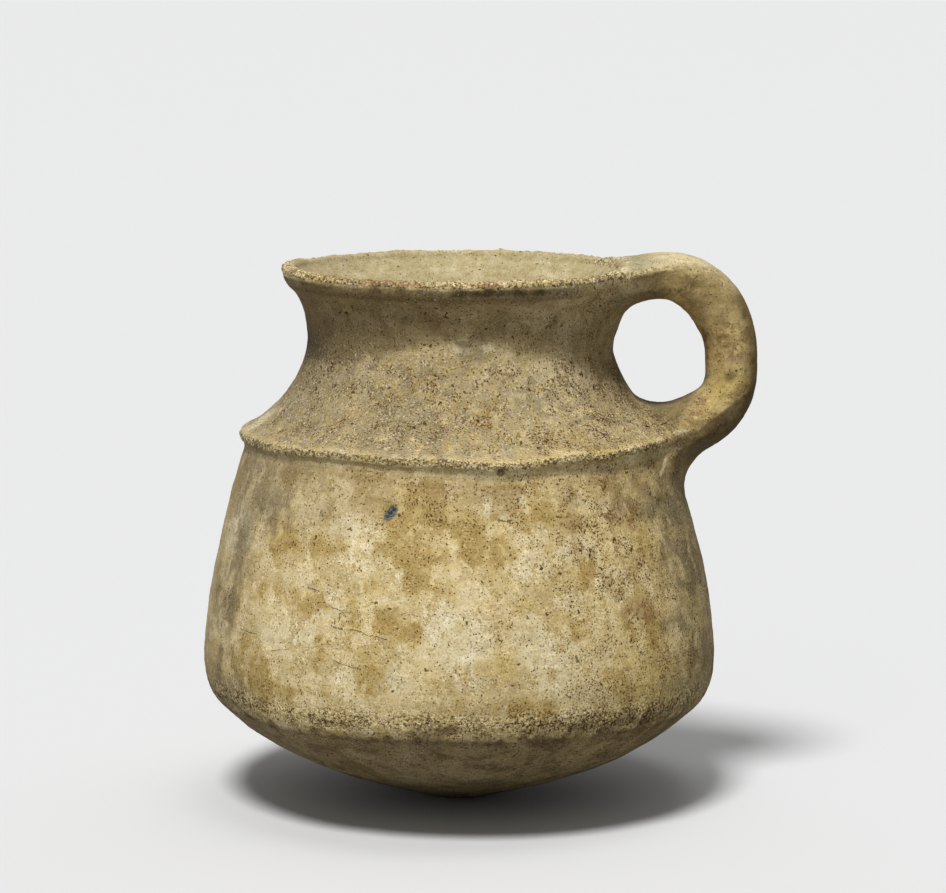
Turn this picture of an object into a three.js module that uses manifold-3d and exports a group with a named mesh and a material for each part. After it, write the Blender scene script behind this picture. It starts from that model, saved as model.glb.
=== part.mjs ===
// A one-handled drinking pot in unglazed buff clay, as its potter built it: a dished base and a
// tapering wall lapped together at the sharp lower angle, a waisted collar standing on the wall,
// a coil pressed round that seam as a ridge, a separate lip, and a pulled strap handle bedded on
// the lip and on the ridge with two wads of clay.
// Millimetres, +Z up. The origin is the centre of the flat the pot rests on; the handle is at +X.
import * as THREE from 'three';
import { mergeVertices } from 'three/addons/utils/BufferGeometryUtils.js';
import Module from 'manifold-3d';

const wasm = await Module();
wasm.setup();

// Heights above the resting face
const potHeight = 107;
const angleHeight = 21.3;
const bellyHeight = 29.5;
const shoulderHeight = 70.5;
const waistHeight = 92.5;
const gripHeight = 87.5;

// Outside radii
const restRadius = 10;
const angleRadius = 49.3;
const bellyRadius = 51.2;
const shoulderRadius = 42.4;
const waistRadius = 30.1;
const mouthRadius = 35.2;

// Clay thicknesses
const floorThickness = 6.2;
const wallThickness = 4.7;
const neckThickness = 4.1;
const lipThickness = 2.6;

// Ridge, lip and lap joint
const ridgeReach = 1.5;
const ridgeDepth = 5.6;
const ridgeSeat = 2.2;
const lipDepth = 4.7;
const lipFlare = 2;
const lapHeight = 3;
const lapWidth = 2.2;

// Handle
const fingerGap = 18.5;
const strapThickness = 10.3;
const strapWidth = 14;
const rimWadWidth = 25;
const ridgeWadWidth = 24;
const ridgeWadThickness = 19;

// The slip layer between pieces that do not meet on a flat face
const slipGap = 0.3;

// Facets
const turnFacets = 60;
const curveSteps = 5;
const longCurveSteps = 7;
const strapFacets = 24;
const strapSteps = 26;
const wadSteps = 10;

const point = (r, z) => new THREE.Vector2(r, z);

// A stretch of outline from a to b, bending towards the control points between them.
function bend(steps, a, ...others) {
  const curve = others.length === 2
    ? new THREE.QuadraticBezierCurve(a, ...others)
    : new THREE.CubicBezierCurve(a, ...others);
  return curve.getPoints(steps);
}

// Key points of the outside, as radius and height
const restEdge = point(restRadius, 0);
const angle = point(angleRadius, angleHeight);
const belly = point(bellyRadius, bellyHeight);
const shoulder = point(shoulderRadius, shoulderHeight);
const ridgeFoot = point(shoulderRadius - ridgeSeat, shoulderHeight);
const ridgeTip = point(shoulderRadius + ridgeReach, shoulderHeight + ridgeDepth * 0.5);
const ridgeTop = point(ridgeFoot.x, shoulderHeight + ridgeDepth);
const collarFoot = point(ridgeFoot.x - slipGap, ridgeTop.y + slipGap * 0.5);
const waist = point(waistRadius, waistHeight);
const lipSeam = point(mouthRadius - lipFlare, potHeight - lipDepth);

// Key points of the inside
const floorCentre = point(0, floorThickness);
const lapTop = angleHeight + lapHeight;
const lapInside = point(angleRadius - wallThickness * 0.87, lapTop);
const bellyInside = point(bellyRadius - wallThickness, bellyHeight * 1.035);
const shoulderInside = point(shoulderRadius - wallThickness, shoulderHeight);
const waistInside = point(waistRadius - neckThickness, waistHeight);
const lipSeamInside = point(lipSeam.x - neckThickness, lipSeam.y);

// Share of a stretch, from one number to another
const share = (from, to, part) => from + (to - from) * part;

// The outside of the base, nearly a cone that steepens towards the angle
function baseOutside() {
  const middle = point(share(restRadius, angleRadius, 0.29), angleHeight * 0.207);
  const outer = point(share(restRadius, angleRadius, 0.79), angleHeight * 0.587);
  return bend(longCurveSteps, restEdge, middle, outer, angle);
}

// The outside of the wall: a tight turn round the angle, then a long taper to the shoulder
function wallOutside() {
  const turn = point(bellyRadius, share(angleHeight, bellyHeight, 0.3));
  const rise = shoulderHeight - bellyHeight;
  const lower = point(bellyRadius, bellyHeight + rise * 0.28);
  const upper = point(share(shoulderRadius, bellyRadius, 0.43), shoulderHeight - rise * 0.33);
  return [
    ...bend(curveSteps, angle, turn, belly),
    ...bend(longCurveSteps, belly, lower, upper, shoulder).slice(1),
  ];
}

// The inside of the wall, from the shoulder down to the lap
function wallInside() {
  const rise = shoulderHeight - bellyHeight;
  const upper = point(share(shoulderInside.x, bellyInside.x, 0.44), shoulderHeight - rise * 0.33);
  const lower = point(bellyInside.x, bellyInside.y + rise * 0.27);
  const turn = point(bellyInside.x, share(lapTop, bellyInside.y, 0.35));
  return [
    ...bend(longCurveSteps, shoulderInside, upper, lower, bellyInside),
    ...bend(3, bellyInside, turn, lapInside).slice(1),
  ];
}

// The outside of the collar: the shoulder sweeps in to the waist, then flares to the lip
function collarOutside() {
  const rise = waistHeight - collarFoot.y;
  const sweep = point(share(waistRadius, collarFoot.x, 0.6), collarFoot.y + rise * 0.135);
  const steep = point(waistRadius, waistHeight - rise * 0.49);
  const flare = point(waistRadius, share(waistHeight, lipSeam.y, 0.7));
  return [
    ...bend(longCurveSteps, collarFoot, sweep, steep, waist),
    ...bend(curveSteps, waist, flare, lipSeam).slice(1),
  ];
}

// The inside of the collar, from the lip seam down to the wall
function collarInside() {
  const fall = waistHeight - shoulderHeight;
  const flare = point(waistInside.x, share(waistHeight, lipSeam.y, 0.6));
  const steep = point(waistInside.x, waistHeight - fall * 0.39);
  const sweep = point(share(waistInside.x, shoulderInside.x, 0.66), shoulderHeight + fall * 0.27);
  return [
    ...bend(4, lipSeamInside, flare, waistInside),
    ...bend(longCurveSteps, waistInside, steep, sweep, shoulderInside).slice(1),
  ];
}

// The worn lip: a bevelled underside, a nearly upright band and a rounded top
const lipTop = point(mouthRadius - lipThickness * 0.45, potHeight);

function lipOutside() {
  const corner = point(mouthRadius, potHeight - lipDepth * 0.83);
  const bandLow = point(mouthRadius, potHeight - lipDepth * 0.64);
  const bandHigh = point(mouthRadius, potHeight - lipDepth * 0.28);
  const edge = point(mouthRadius, potHeight);
  return [
    ...bend(4, lipSeam, corner, bandLow),
    ...bend(4, bandHigh, edge, lipTop),
  ];
}

function lipInside() {
  const edge = point(mouthRadius - lipThickness, potHeight);
  const inner = point(mouthRadius - lipThickness * 1.2, potHeight - lipDepth * 0.3);
  return [
    ...bend(3, lipTop, edge, inner),
    lipSeamInside,
  ];
}

// The ridge's outside: an undercut foot, a worn tip and a top that runs into the shoulder
function ridgeOutside() {
  const undercut = point(shoulderRadius + ridgeReach * 0.13, share(shoulderHeight, ridgeTip.y, 0.75));
  const crown = point(ridgeTip.x, share(ridgeTip.y, ridgeTop.y, 0.45));
  return [
    ...bend(4, shoulder, undercut, ridgeTip),
    ...bend(curveSteps, ridgeTip, crown, ridgeTop).slice(1),
  ];
}

// Turns an outline of radius and height about the Z axis.
function turned(outline) {
  const geometry = new THREE.LatheGeometry(outline, turnFacets);
  return geometry.rotateX(Math.PI / 2);
}

// The outside of the whole pot filled solid, grown by the slip gap; the wads are cut to it.
function potEnvelope() {
  const outside = [
    point(0, 0),
    ...baseOutside(),
    ...wallOutside().slice(1),
    ...ridgeOutside().slice(1),
    ...collarOutside().slice(1),
    ...lipOutside().slice(1),
  ];
  const grown = outside.map((p, i) => {
    const before = outside[Math.max(i - 1, 0)];
    const after = outside[Math.min(i + 1, outside.length - 1)];
    const along = after.clone().sub(before).normalize();
    return point(Math.max(p.x + along.y * slipGap, 0), p.y - along.x * slipGap);
  });
  grown[0].x = 0;
  grown.push(point(0, potHeight + slipGap));
  return turned(grown);
}

// The handle's centre line, in the XZ plane, from inside the lip to inside the ridge
const gripX = waistRadius + fingerGap + strapThickness / 2;
const centreLine = new THREE.CurvePath();
const inPlane = (x, z) => new THREE.Vector3(x, 0, z);
const gripPoint = inPlane(gripX, gripHeight);
centreLine.add(new THREE.CubicBezierCurve3(
  inPlane(mouthRadius - lipDepth, potHeight - strapThickness * 0.54),
  inPlane(mouthRadius + strapThickness * 0.51, potHeight + strapThickness * 0.14),
  inPlane(gripX, potHeight - strapThickness * 0.35),
  gripPoint,
));
centreLine.add(new THREE.CubicBezierCurve3(
  gripPoint,
  inPlane(gripX, share(shoulderHeight, gripHeight, 0.6)),
  inPlane(share(shoulderRadius, gripX, 0.74), shoulderHeight + strapThickness * 0.47),
  inPlane(shoulderRadius - wallThickness, shoulderHeight),
));

// Where the strap's two ends are, as shares of the centre line
const rimJoint = 0.185;
const ridgeJoint = 0.83;

const smooth = (x) => {
  const t = Math.min(Math.max(x, 0), 1);
  return t * t * (3 - 2 * t);
};

// Half the thickness and half the width of the handle at a share of its centre line
function strapSize(part) {
  const towardsRim = smooth(1 - part / 0.3);
  const towardsRidge = smooth((part - 0.74) / 0.3);
  const thickness = strapThickness * (1 - 0.16 * towardsRim)
    + (ridgeWadThickness - strapThickness) * towardsRidge;
  const width = strapWidth
    + (rimWadWidth - strapWidth) * towardsRim
    + (ridgeWadWidth - strapWidth) * towardsRidge;
  return [thickness / 2, width / 2];
}

// One rounded section of the strap, as points in space
function strapRing(part) {
  const centre = centreLine.getPointAt(part);
  const along = centreLine.getTangentAt(part);
  const outward = new THREE.Vector3(-along.z, 0, along.x);
  const [halfThick, halfWide] = strapSize(part);
  const squareness = 0.86;
  const squared = (x) => Math.sign(x) * Math.abs(x) ** squareness;
  const ring = [];
  for (let i = 0; i < strapFacets; i += 1) {
    const turn = (i / strapFacets) * Math.PI * 2;
    const p = centre.clone().addScaledVector(outward, squared(Math.cos(turn)) * halfThick);
    p.y += squared(Math.sin(turn)) * halfWide;
    ring.push(p);
  }
  return { centre, ring };
}

// A closed skin through the handle's sections from one share of the centre line to another
function strapSkin(from, to, steps) {
  const positions = [];
  const index = [];
  const sections = [];
  for (let i = 0; i <= steps; i += 1) sections.push(strapRing(share(from, to, i / steps)));
  sections.forEach(({ ring }) => ring.forEach((p) => positions.push(p.x, p.y, p.z)));
  const at = (row, i) => row * strapFacets + (i % strapFacets);
  for (let row = 0; row < steps; row += 1) {
    for (let i = 0; i < strapFacets; i += 1) {
      index.push(at(row, i), at(row + 1, i), at(row + 1, i + 1));
      index.push(at(row, i), at(row + 1, i + 1), at(row, i + 1));
    }
  }
  const first = positions.length / 3;
  [sections[0], sections[steps]].forEach(({ centre }) => {
    positions.push(centre.x, centre.y, centre.z);
  });
  for (let i = 0; i < strapFacets; i += 1) {
    index.push(first, at(0, i), at(0, i + 1));
    index.push(first + 1, at(steps, i + 1), at(steps, i));
  }
  const geometry = new THREE.BufferGeometry();
  geometry.setAttribute('position', new THREE.Float32BufferAttribute(positions, 3));
  geometry.setIndex(index);
  return geometry;
}

// A geometry as a solid that can be cut
function solid(geometry) {
  const bare = geometry.clone();
  bare.deleteAttribute('normal');
  bare.deleteAttribute('uv');
  const merged = mergeVertices(bare, 1e-4);
  return new wasm.Manifold(new wasm.Mesh({
    numProp: 3,
    vertProperties: merged.attributes.position.array,
    triVerts: new Uint32Array(merged.index.array),
  }));
}

// A cut solid as a geometry that three.js can show
function shown(cut) {
  const mesh = cut.getMesh();
  const geometry = new THREE.BufferGeometry();
  geometry.setAttribute('position', new THREE.BufferAttribute(mesh.vertProperties, 3));
  geometry.setIndex(new THREE.BufferAttribute(mesh.triVerts, 1));
  geometry.computeVertexNormals();
  return geometry;
}

// A wad of clay between the strap's end and the pot, pressed onto the pot's outside
function wad(from, to) {
  const pressed = solid(strapSkin(from, to, wadSteps)).subtract(solid(potEnvelope()));
  const bodies = pressed.decompose();
  bodies.sort((a, b) => b.volume() - a.volume());
  return shown(bodies[0]);
}

// Unglazed buff clay, each piece a little different as its firing and wear left it
const clay = (colour, roughness) => new THREE.MeshStandardMaterial({
  color: colour,
  roughness,
  metalness: 0,
});
const paleClay = clay(0xbfa878, 0.92);
const greyClay = clay(0x9a8763, 0.94);
const baseClay = clay(0x8f7a55, 0.93);
const wornEdge = clay(0xcdbb8c, 0.96);
const handleClay = clay(0xa8884f, 0.92);

const pot = new THREE.Group();

function add(name, geometry, material) {
  const mesh = new THREE.Mesh(geometry, material);
  mesh.name = name;
  pot.add(mesh);
}

const lapOutside = angleRadius - lapWidth;

// Dished base: it rests on a small worn flat and ends in a tongue inside the wall's foot
add('dished_base', turned([
  point(0, 0),
  ...baseOutside(),
  point(lapOutside, angleHeight),
  point(lapOutside, lapTop),
  ...bend(longCurveSteps, lapInside, point(lapInside.x * 0.69, floorThickness * 1.3), floorCentre),
]), baseClay);

// Tapering wall: its foot laps over the base's tongue, and its top edge is flat for the collar
add('body_wall', turned([
  ...wallOutside(),
  ...wallInside(),
  point(lapOutside + slipGap, lapTop),
  point(lapOutside + slipGap, angleHeight),
  angle,
]), paleClay);

// Ridge: a coil of clay seated on the wall's top edge, against the collar's foot
add('shoulder_ridge', turned([ridgeFoot, ...ridgeOutside(), ridgeFoot]), wornEdge);

// Waisted collar: shoulder and neck in one sweep
add('neck_collar', turned([
  point(collarFoot.x, shoulderHeight),
  ...collarOutside(),
  ...collarInside(),
  point(collarFoot.x, shoulderHeight),
]), greyClay);

// Everted lip
add('rim_lip', turned([
  ...lipOutside(),
  ...lipInside().slice(1),
  lipSeam,
]), wornEdge);

// Pulled strap handle and the two wads that bed it
add('handle_strap', strapSkin(rimJoint, ridgeJoint, strapSteps), handleClay);
add('rim_wad', wad(0, rimJoint), handleClay);
add('ridge_wad', wad(ridgeJoint, 1), handleClay);

export default pot;
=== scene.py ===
# %% [markdown]
# # A handled pot in unglazed buff clay
# This file dresses a small drinking pot: a dished base, a tapering wall, a ridge at the shoulder,
# a waisted collar, a worn lip and a strap handle bedded on two wads of clay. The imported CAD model
# fixes where everything is and how big it is. Blender adds what a potter's hands, the kiln and
# long wear leave on clay: wheel lines, dents, a ragged lip, pits, stains and soot.

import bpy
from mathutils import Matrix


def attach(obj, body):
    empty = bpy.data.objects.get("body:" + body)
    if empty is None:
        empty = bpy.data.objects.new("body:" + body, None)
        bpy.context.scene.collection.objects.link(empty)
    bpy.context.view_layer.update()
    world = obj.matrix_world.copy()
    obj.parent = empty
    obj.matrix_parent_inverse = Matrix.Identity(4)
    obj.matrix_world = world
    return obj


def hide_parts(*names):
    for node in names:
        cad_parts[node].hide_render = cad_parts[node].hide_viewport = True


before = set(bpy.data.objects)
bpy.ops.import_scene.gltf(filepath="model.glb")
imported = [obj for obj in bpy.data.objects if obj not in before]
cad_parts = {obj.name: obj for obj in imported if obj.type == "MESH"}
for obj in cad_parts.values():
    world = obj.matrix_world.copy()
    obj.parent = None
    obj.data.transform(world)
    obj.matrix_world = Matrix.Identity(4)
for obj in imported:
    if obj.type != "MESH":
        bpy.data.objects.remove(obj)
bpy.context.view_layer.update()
print("pieces to dress:", sorted(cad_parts))

# %% [markdown]
# ## Measures
# Sizes are written in millimetres, as a potter would give them, and turned into Blender's metres
# at the last moment. A turned shape needs only half of its section: rows of radius and height.
# Bezier curves keep that section short to write and easy to change.

# %% Curves in section
import math

import bmesh
import bpy
import numpy as np
import openvdb
from mathutils import Vector

MM = 0.001


def bend(count, *controls):
    """Points on the Bezier curve that these control points give, as rows."""
    t = np.linspace(0.0, 1.0, count)[:, None]
    rows = [np.tile(np.array(c, float), (count, 1)) for c in controls]
    while len(rows) > 1:
        rows = [a + (b - a) * t for a, b in zip(rows, rows[1:])]
    return rows[0]


def joined(*stretches):
    """Stretches that share their end points, as one line."""
    return np.vstack([stretches[0]] + [s[1:] for s in stretches[1:]])


def spaced(line, step):
    """The same line with its points about one step apart."""
    run = np.r_[0, np.cumsum(np.linalg.norm(np.diff(line, axis=0), axis=1))]
    count = max(int(round(run[-1] / step)), 1) + 1
    at = np.linspace(0, run[-1], count)
    return np.column_stack([np.interp(at, run, line[:, k]) for k in range(2)])


def eased(value, low, high):
    """A soft step: 0 at low, 1 at high."""
    t = np.clip((value - low) / (high - low), 0, 1)
    return t * t * (3 - 2 * t)


# %% [markdown]
# ## The section of the pot
# One line runs from the middle of the underside, up the outside, over the lip and down the inside
# to the floor. It is cut where the potter's pieces meet: at the sharp lower angle, under and over
# the ridge, and under the lip. Neighbours share the cut's point, so no crack can show. The step
# between points is small outside, where the eye goes, and larger inside.

# %% Stretches of the section
ANGLE = (49.3, 21.3)
SHOULDER = (42.6, 70.5)
RIDGE_TIP = (43.6, 73.5)
COLLAR_FOOT = (39.9, 76.25)
LIP_SEAM = (33.2, 102.3)
LIP_TOP = (33.8, 106.8)
LIP_SEAM_INSIDE = (29.1, 102.3)
SHOULDER_INSIDE = (37.7, 70.5)
LAP_INSIDE = (45.2, 24.3)
FLOOR = (0.0, 6.2)

stretches = {
    "base": joined(
        bend(9, (0, 0), (3.5, 0)),
        bend(20, (3.5, 0), (6.0, 0), (9.24, 1.0)),
        bend(60, (9.24, 1.0), (29.18, 7.18), (38.57, 10.62), ANGLE),
    ),
    "wall": joined(
        bend(20, ANGLE, (51.1, 23.7), (51.2, 29.5)),
        bend(60, (51.2, 29.5), (51.2, 41.0), (46.4, 57.0), SHOULDER),
    ),
    "ridge": joined(
        bend(8, SHOULDER, (42.65, 71.6), (42.8, 72.3)),
        bend(12, (42.8, 72.3), (43.5, 72.4), RIDGE_TIP),
        bend(12, RIDGE_TIP, (43.6, 74.3), (42.9, 74.55)),
        bend(8, (42.9, 74.55), (41.5, 75.1), COLLAR_FOOT),
    ),
    "collar": joined(
        bend(60, COLLAR_FOOT, (37.0, 78.4), (30.5, 84.2), (30.1, 92.5)),
        bend(20, (30.1, 92.5), (30.1, 99.4), LIP_SEAM),
    ),
    "lip": joined(
        bend(12, LIP_SEAM, (34.4, 103.3), (34.9, 104.8)),
        bend(6, (34.9, 104.8), (35.2, 105.6)),
        bend(12, (35.2, 105.6), (35.1, 106.8), LIP_TOP),
    ),
    "lip_inside": joined(
        bend(12, LIP_TOP, (32.6, 106.8), (32.1, 105.4)),
        bend(6, (32.1, 105.4), LIP_SEAM_INSIDE),
    ),
    "collar_inside": joined(
        bend(20, LIP_SEAM_INSIDE, (26.0, 98.4), (26.0, 92.5)),
        bend(60, (26.0, 92.5), (26.0, 83.9), (29.9, 76.4), SHOULDER_INSIDE),
    ),
    "wall_inside": joined(
        bend(60, SHOULDER_INSIDE, (41.6, 57.0), (46.5, 41.0), (46.5, 30.5)),
        bend(12, (46.5, 30.5), (46.5, 26.5), LAP_INSIDE),
    ),
    "floor_inside": bend(60, LAP_INSIDE, (31.2, 8.1), FLOOR),
}
steps = {"lip": 0.3, "ridge": 0.25, "lip_inside": 0.4, "collar_inside": 0.9}
for name in stretches:
    usual = 1.5 if name.endswith("inside") else 0.5
    stretches[name] = spaced(stretches[name], steps.get(name, usual))
section = joined(*stretches.values())
print("section points:", len(section), "height to the lip in mm:", section[:, 1].max())

# %% [markdown]
# The surface moves in and out along a normal when dents and wear are pressed into it. That normal
# is worked out once along the whole section, so two pieces that meet move by the same amount. Wear
# is likewise a matter of place: it gathers on the lip, on the ridge and on the lower angle.

# %% Normals and wear along the section
slope = np.gradient(section, axis=0)
slope /= np.linalg.norm(slope, axis=1)[:, None]
section_normals = np.column_stack([slope[:, 1], -slope[:, 0]])
starts = {}
count = 0
for name, line in stretches.items():
    starts[name] = count
    count += len(line) - 1


def normals_of(name):
    """The section's normals along one stretch."""
    return section_normals[starts[name]:starts[name] + len(stretches[name])]


def wear_at(radius, height):
    """How worn the outer skin is at a radius and height, from 0 to 1."""
    lip = 0.2 * eased(height, 104.3, 105.1) + 0.8 * eased(height, 105.1, 105.8)
    ridge = np.exp(-((radius - 43.4) ** 2 + (height - RIDGE_TIP[1]) ** 2) / 0.9 ** 2)
    angle = 0.3 * np.exp(-((height - 23.2) / 2.1) ** 2) * (radius > 47.5)
    return np.maximum(np.maximum(lip, ridge), angle)


# %% [markdown]
# ## Node trees written as sums
# Both the shapes and the finish below are sums of noises and masks. A small class wraps a node's
# output, so that `a * 2 + b` adds the Math nodes itself, and one function places any other node.

# %% A wrapper for node sockets
def put(tree, kind, values=(), settings=(), output=0):
    """Adds a node: settings first, then the values or links of its sockets."""
    node = tree.nodes.new(kind)
    for name, value in dict(settings).items():
        setattr(node, name, value)
    for name, value in dict(values).items():
        if isinstance(value, Wire):
            tree.links.new(value.socket, node.inputs[name])
        else:
            node.inputs[name].default_value = value
    return Wire(tree, node.outputs[output])


class Wire:
    """A node's output. Arithmetic on it adds Math nodes to its tree."""

    def __init__(self, tree, socket):
        self.tree = tree
        self.socket = socket

    def maths(self, operation, *others, swap=False, clamp=False):
        """Adds a Math node; swap puts this value last."""
        parts = [self, *others][::-1] if swap else [self, *others]
        settings = {"operation": operation, "use_clamp": clamp}
        return put(self.tree, "ShaderNodeMath", dict(enumerate(parts)), settings)

    def __add__(self, other):
        return self.maths("ADD", other)

    def __sub__(self, other):
        return self.maths("SUBTRACT", other)

    def __mul__(self, other):
        return self.maths("MULTIPLY", other)

    def __truediv__(self, other):
        return self.maths("DIVIDE", other)

    def __rsub__(self, other):
        return self.maths("SUBTRACT", other, swap=True)

    def __rtruediv__(self, other):
        return self.maths("DIVIDE", other, swap=True)

    __radd__ = __add__
    __rmul__ = __mul__

    def within(self, low, high):
        """A soft step: 0 up to low, 1 from high on, or the other way round if low is higher."""
        if low > high:
            return 1 - self.within(high, low)
        values = {"Value": self, "From Min": low, "From Max": high}
        settings = {"interpolation_type": "SMOOTHSTEP"}
        return put(self.tree, "ShaderNodeMapRange", values, settings)

    def peak(self, centre, spread):
        """1 where the value is at the centre, falling to 0 like a bell."""
        away = (self - centre) * (1 / spread)
        return (away * away * -1.0).maths("EXPONENT")


# %% Vectors and noises
def vectors(operation, first, second, output=0):
    """Adds a Vector Math node."""
    settings = {"operation": operation}
    return put(first.tree, "ShaderNodeVectorMath", {0: first, 1: second}, settings, output)


def scaled(vector, x, y=None, z=None):
    """A vector with its parts multiplied, all alike when only x is given."""
    return vectors("MULTIPLY", vector, (x, x if y is None else y, x if z is None else z))


def parts_of(vector):
    """The x, y and z of a vector."""
    first = put(vector.tree, "ShaderNodeSeparateXYZ", {0: vector})
    outputs = first.socket.node.outputs
    return [Wire(vector.tree, outputs[k]) for k in range(3)]


def vector_of(tree, x, y, z):
    """A vector from three values."""
    return put(tree, "ShaderNodeCombineXYZ", {0: x, 1: y, 2: z})


def noise(place, size, detail=2.0, roughness=0.5, shift=0.0, output=0):
    """Soft random values around 0.5, with features of about this size in mm."""
    if shift:
        place = vectors("ADD", place, (shift, shift * 0.7, shift * 1.3))
    values = {"Vector": place, "Scale": 1.0 / size, "Detail": detail, "Roughness": roughness}
    return put(place.tree, "ShaderNodeTexNoise", values, output=output)


# %% [markdown]
# ## The potter's hand, and wear
# A real pot is never the clean surface that a drawing turns. Its ridge dips where a thumb pressed
# it, its walls carry shallow dents and turning lines, and its lip and ridge are worn ragged. Each
# of these is a field in a Geometry Nodes group that moves points along the stored normal. It reads
# only where a point is, so pieces that touch stay together.

# %% Wheel lines, dents and wear as a height
def relief(place, worn):
    """How far the surface stands proud, in mm, at a place in mm."""
    turning = scaled(place, 0.09, 0.09, 1.0)
    dents = (noise(place, 24, 1.0) - 0.5) * 0.8
    lumps = (noise(place, 7.5, 2.0, shift=11) - 0.5) * 0.36
    rills = (noise(turning, 2.6, 1.5, 0.6) - 0.5) * 0.2
    fine_rills = (noise(turning, 0.85, 1.0, shift=5) - 0.5) * 0.1
    grain = (noise(place, 1.1, 2.0, 0.7) - 0.5) * 0.14
    ragged = (noise(place, 3.4, 3.0, 0.65, shift=21) - 0.6) * 1.25
    crumbs = (noise(place, 1.15, 2.0, 0.75, shift=31) - 0.5) * 0.8
    return dents + lumps + rills + fine_rills + grain + worn * (ragged + crumbs)


# %% Waves that lift and drop the turned rings
def waves(place):
    """How far a level line of the pot is lifted, in mm, at a place in mm."""
    tree = place.tree
    x, y, height = parts_of(place)
    turn = y.maths("ARCTAN2", x)
    # a circle, so that the noise meets itself at the back
    round_pot = vector_of(tree, turn.maths("COSINE"), turn.maths("SINE"), 0.0)

    def bell(degrees, spread):
        away = (turn - math.radians(degrees)).maths("COSINE") - 1
        return (away * (1 / math.radians(spread) ** 2)).maths("EXPONENT")

    # where thumbs pressed the ridge down or left it high, by turn in degrees
    thumb = bell(-78, 8) * -1.15 + bell(-48, 7) * -0.35 + bell(-128, 12) * 0.35
    ridge = (thumb + (noise(round_pot, 0.45, 2.0) - 0.5) * 1.0) * height.peak(73, 6)
    angle = (noise(round_pot, 0.4, 2.0, shift=7) - 0.5) * 2.2 * height.peak(23, 8)
    mouth = (noise(round_pot, 0.7, 1.0, shift=3) - 0.5) * 0.9 + bell(-172, 20) * 0.35
    return ridge + angle + mouth * height.within(94, 106)


# %% The group that both the rings and the handle use
def shaped_by_hand(tree, geometry):
    """Moves every point by the relief along its stored normal, then by the waves."""
    stored = {}
    for name, kind in (("outward", "FLOAT_VECTOR"), ("skin", "FLOAT"), ("worn", "FLOAT")):
        stored[name] = put(tree, "GeometryNodeInputNamedAttribute", {"Name": name},
                           {"data_type": kind})
    place = scaled(put(tree, "GeometryNodeInputPosition"), 1 / MM)
    height = relief(place, stored["worn"]) * stored["skin"] * MM
    # the upper wall leans a little away from the handle
    sway = parts_of(place)[2].peak(63, 9) * -0.4
    lift = vector_of(tree, sway * MM, 0.0, waves(place) * MM)
    push = put(tree, "ShaderNodeVectorMath", {0: stored["outward"], "Scale": height},
               {"operation": "SCALE"})
    offset = vectors("ADD", push, lift)
    return put(tree, "GeometryNodeSetPosition", {"Geometry": geometry, "Offset": offset})


# %% [markdown]
# ## Turning the rings
# A potter's profile swept round an axis is Curve to Mesh with a circle as its rail. The profile is
# a small closed line whose points carry the normal, how much they may move (`skin`, nothing where
# clay touches clay), how worn they are, how high they stand, whether they face inwards, and
# whether they are a corner. The tree spreads those values over the swept surface. Curve to Mesh
# lays a profile's second axis downwards on this rail, so the heights go in negative and the faces
# are flipped afterwards.

# %% The tree that turns a profile
# columns of faces round the pot, and the radius of the circle that the profile rides on, in mm
COLUMNS = 640
RAIL = 40.0


def new_tree(name):
    """An empty tree that takes a shape and gives one back."""
    tree = bpy.data.node_groups.new(name, "GeometryNodeTree")
    face = tree.interface
    face.new_socket("Geometry", in_out="INPUT", socket_type="NodeSocketGeometry")
    face.new_socket("Geometry", in_out="OUTPUT", socket_type="NodeSocketGeometry")
    return tree


def finish_tree(tree, geometry, entry):
    """Ends a tree in Realize Instances and Set Material."""
    solid = put(tree, "GeometryNodeRealizeInstances", {"Geometry": geometry})
    dressed = put(tree, "GeometryNodeSetMaterial", {"Geometry": solid, "Material": entry["Clay"]})
    out = tree.nodes.new("NodeGroupOutput")
    tree.links.new(dressed.socket, out.inputs["Geometry"])


def entries(tree):
    """The tree's inputs by name."""
    node = tree.nodes.new("NodeGroupInput")
    return {socket.name: Wire(tree, socket) for socket in node.outputs if socket.name}


def turning_tree():
    """Sweeps a profile round the axis and works the clay by hand."""
    tree = new_tree("turn_clay_ring")
    face = tree.interface
    face.new_socket("Rail radius", in_out="INPUT", socket_type="NodeSocketFloat")
    face.new_socket("Columns", in_out="INPUT", socket_type="NodeSocketInt")
    face.new_socket("Clay", in_out="INPUT", socket_type="NodeSocketMaterial")
    entry = entries(tree)
    rail = put(tree, "GeometryNodeCurvePrimitiveCircle",
               {"Resolution": entry["Columns"], "Radius": entry["Rail radius"]})
    profile = put(tree, "GeometryNodeMeshToCurve", {"Mesh": entry["Geometry"]})
    swept = put(tree, "GeometryNodeCurveToMesh", {"Curve": rail, "Profile Curve": profile})
    upright = put(tree, "GeometryNodeFlipFaces", {"Mesh": swept})
    closed = put(tree, "GeometryNodeMergeByDistance", {"Geometry": upright, "Distance": 1e-6})
    x, y, _ = parts_of(put(tree, "GeometryNodeInputPosition"))
    turn = y.maths("ARCTAN2", x)
    lean = [put(tree, "GeometryNodeInputNamedAttribute", {"Name": name}, {"data_type": "FLOAT"})
            for name in ("lean_out", "lean_up")]
    outward = vector_of(tree, turn.maths("COSINE") * lean[0], turn.maths("SINE") * lean[0], lean[1])
    kept = put(tree, "GeometryNodeStoreNamedAttribute",
               {"Geometry": closed, "Name": "outward", "Value": outward},
               {"data_type": "FLOAT_VECTOR", "domain": "POINT"})
    finish_tree(tree, shaped_by_hand(tree, kept), entry)
    return tree


def handling_tree():
    """Works a finished skin by hand, for the handle."""
    tree = new_tree("work_clay_by_hand")
    tree.interface.new_socket("Clay", in_out="INPUT", socket_type="NodeSocketMaterial")
    entry = entries(tree)
    finish_tree(tree, shaped_by_hand(tree, entry["Geometry"]), entry)
    return tree


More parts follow.
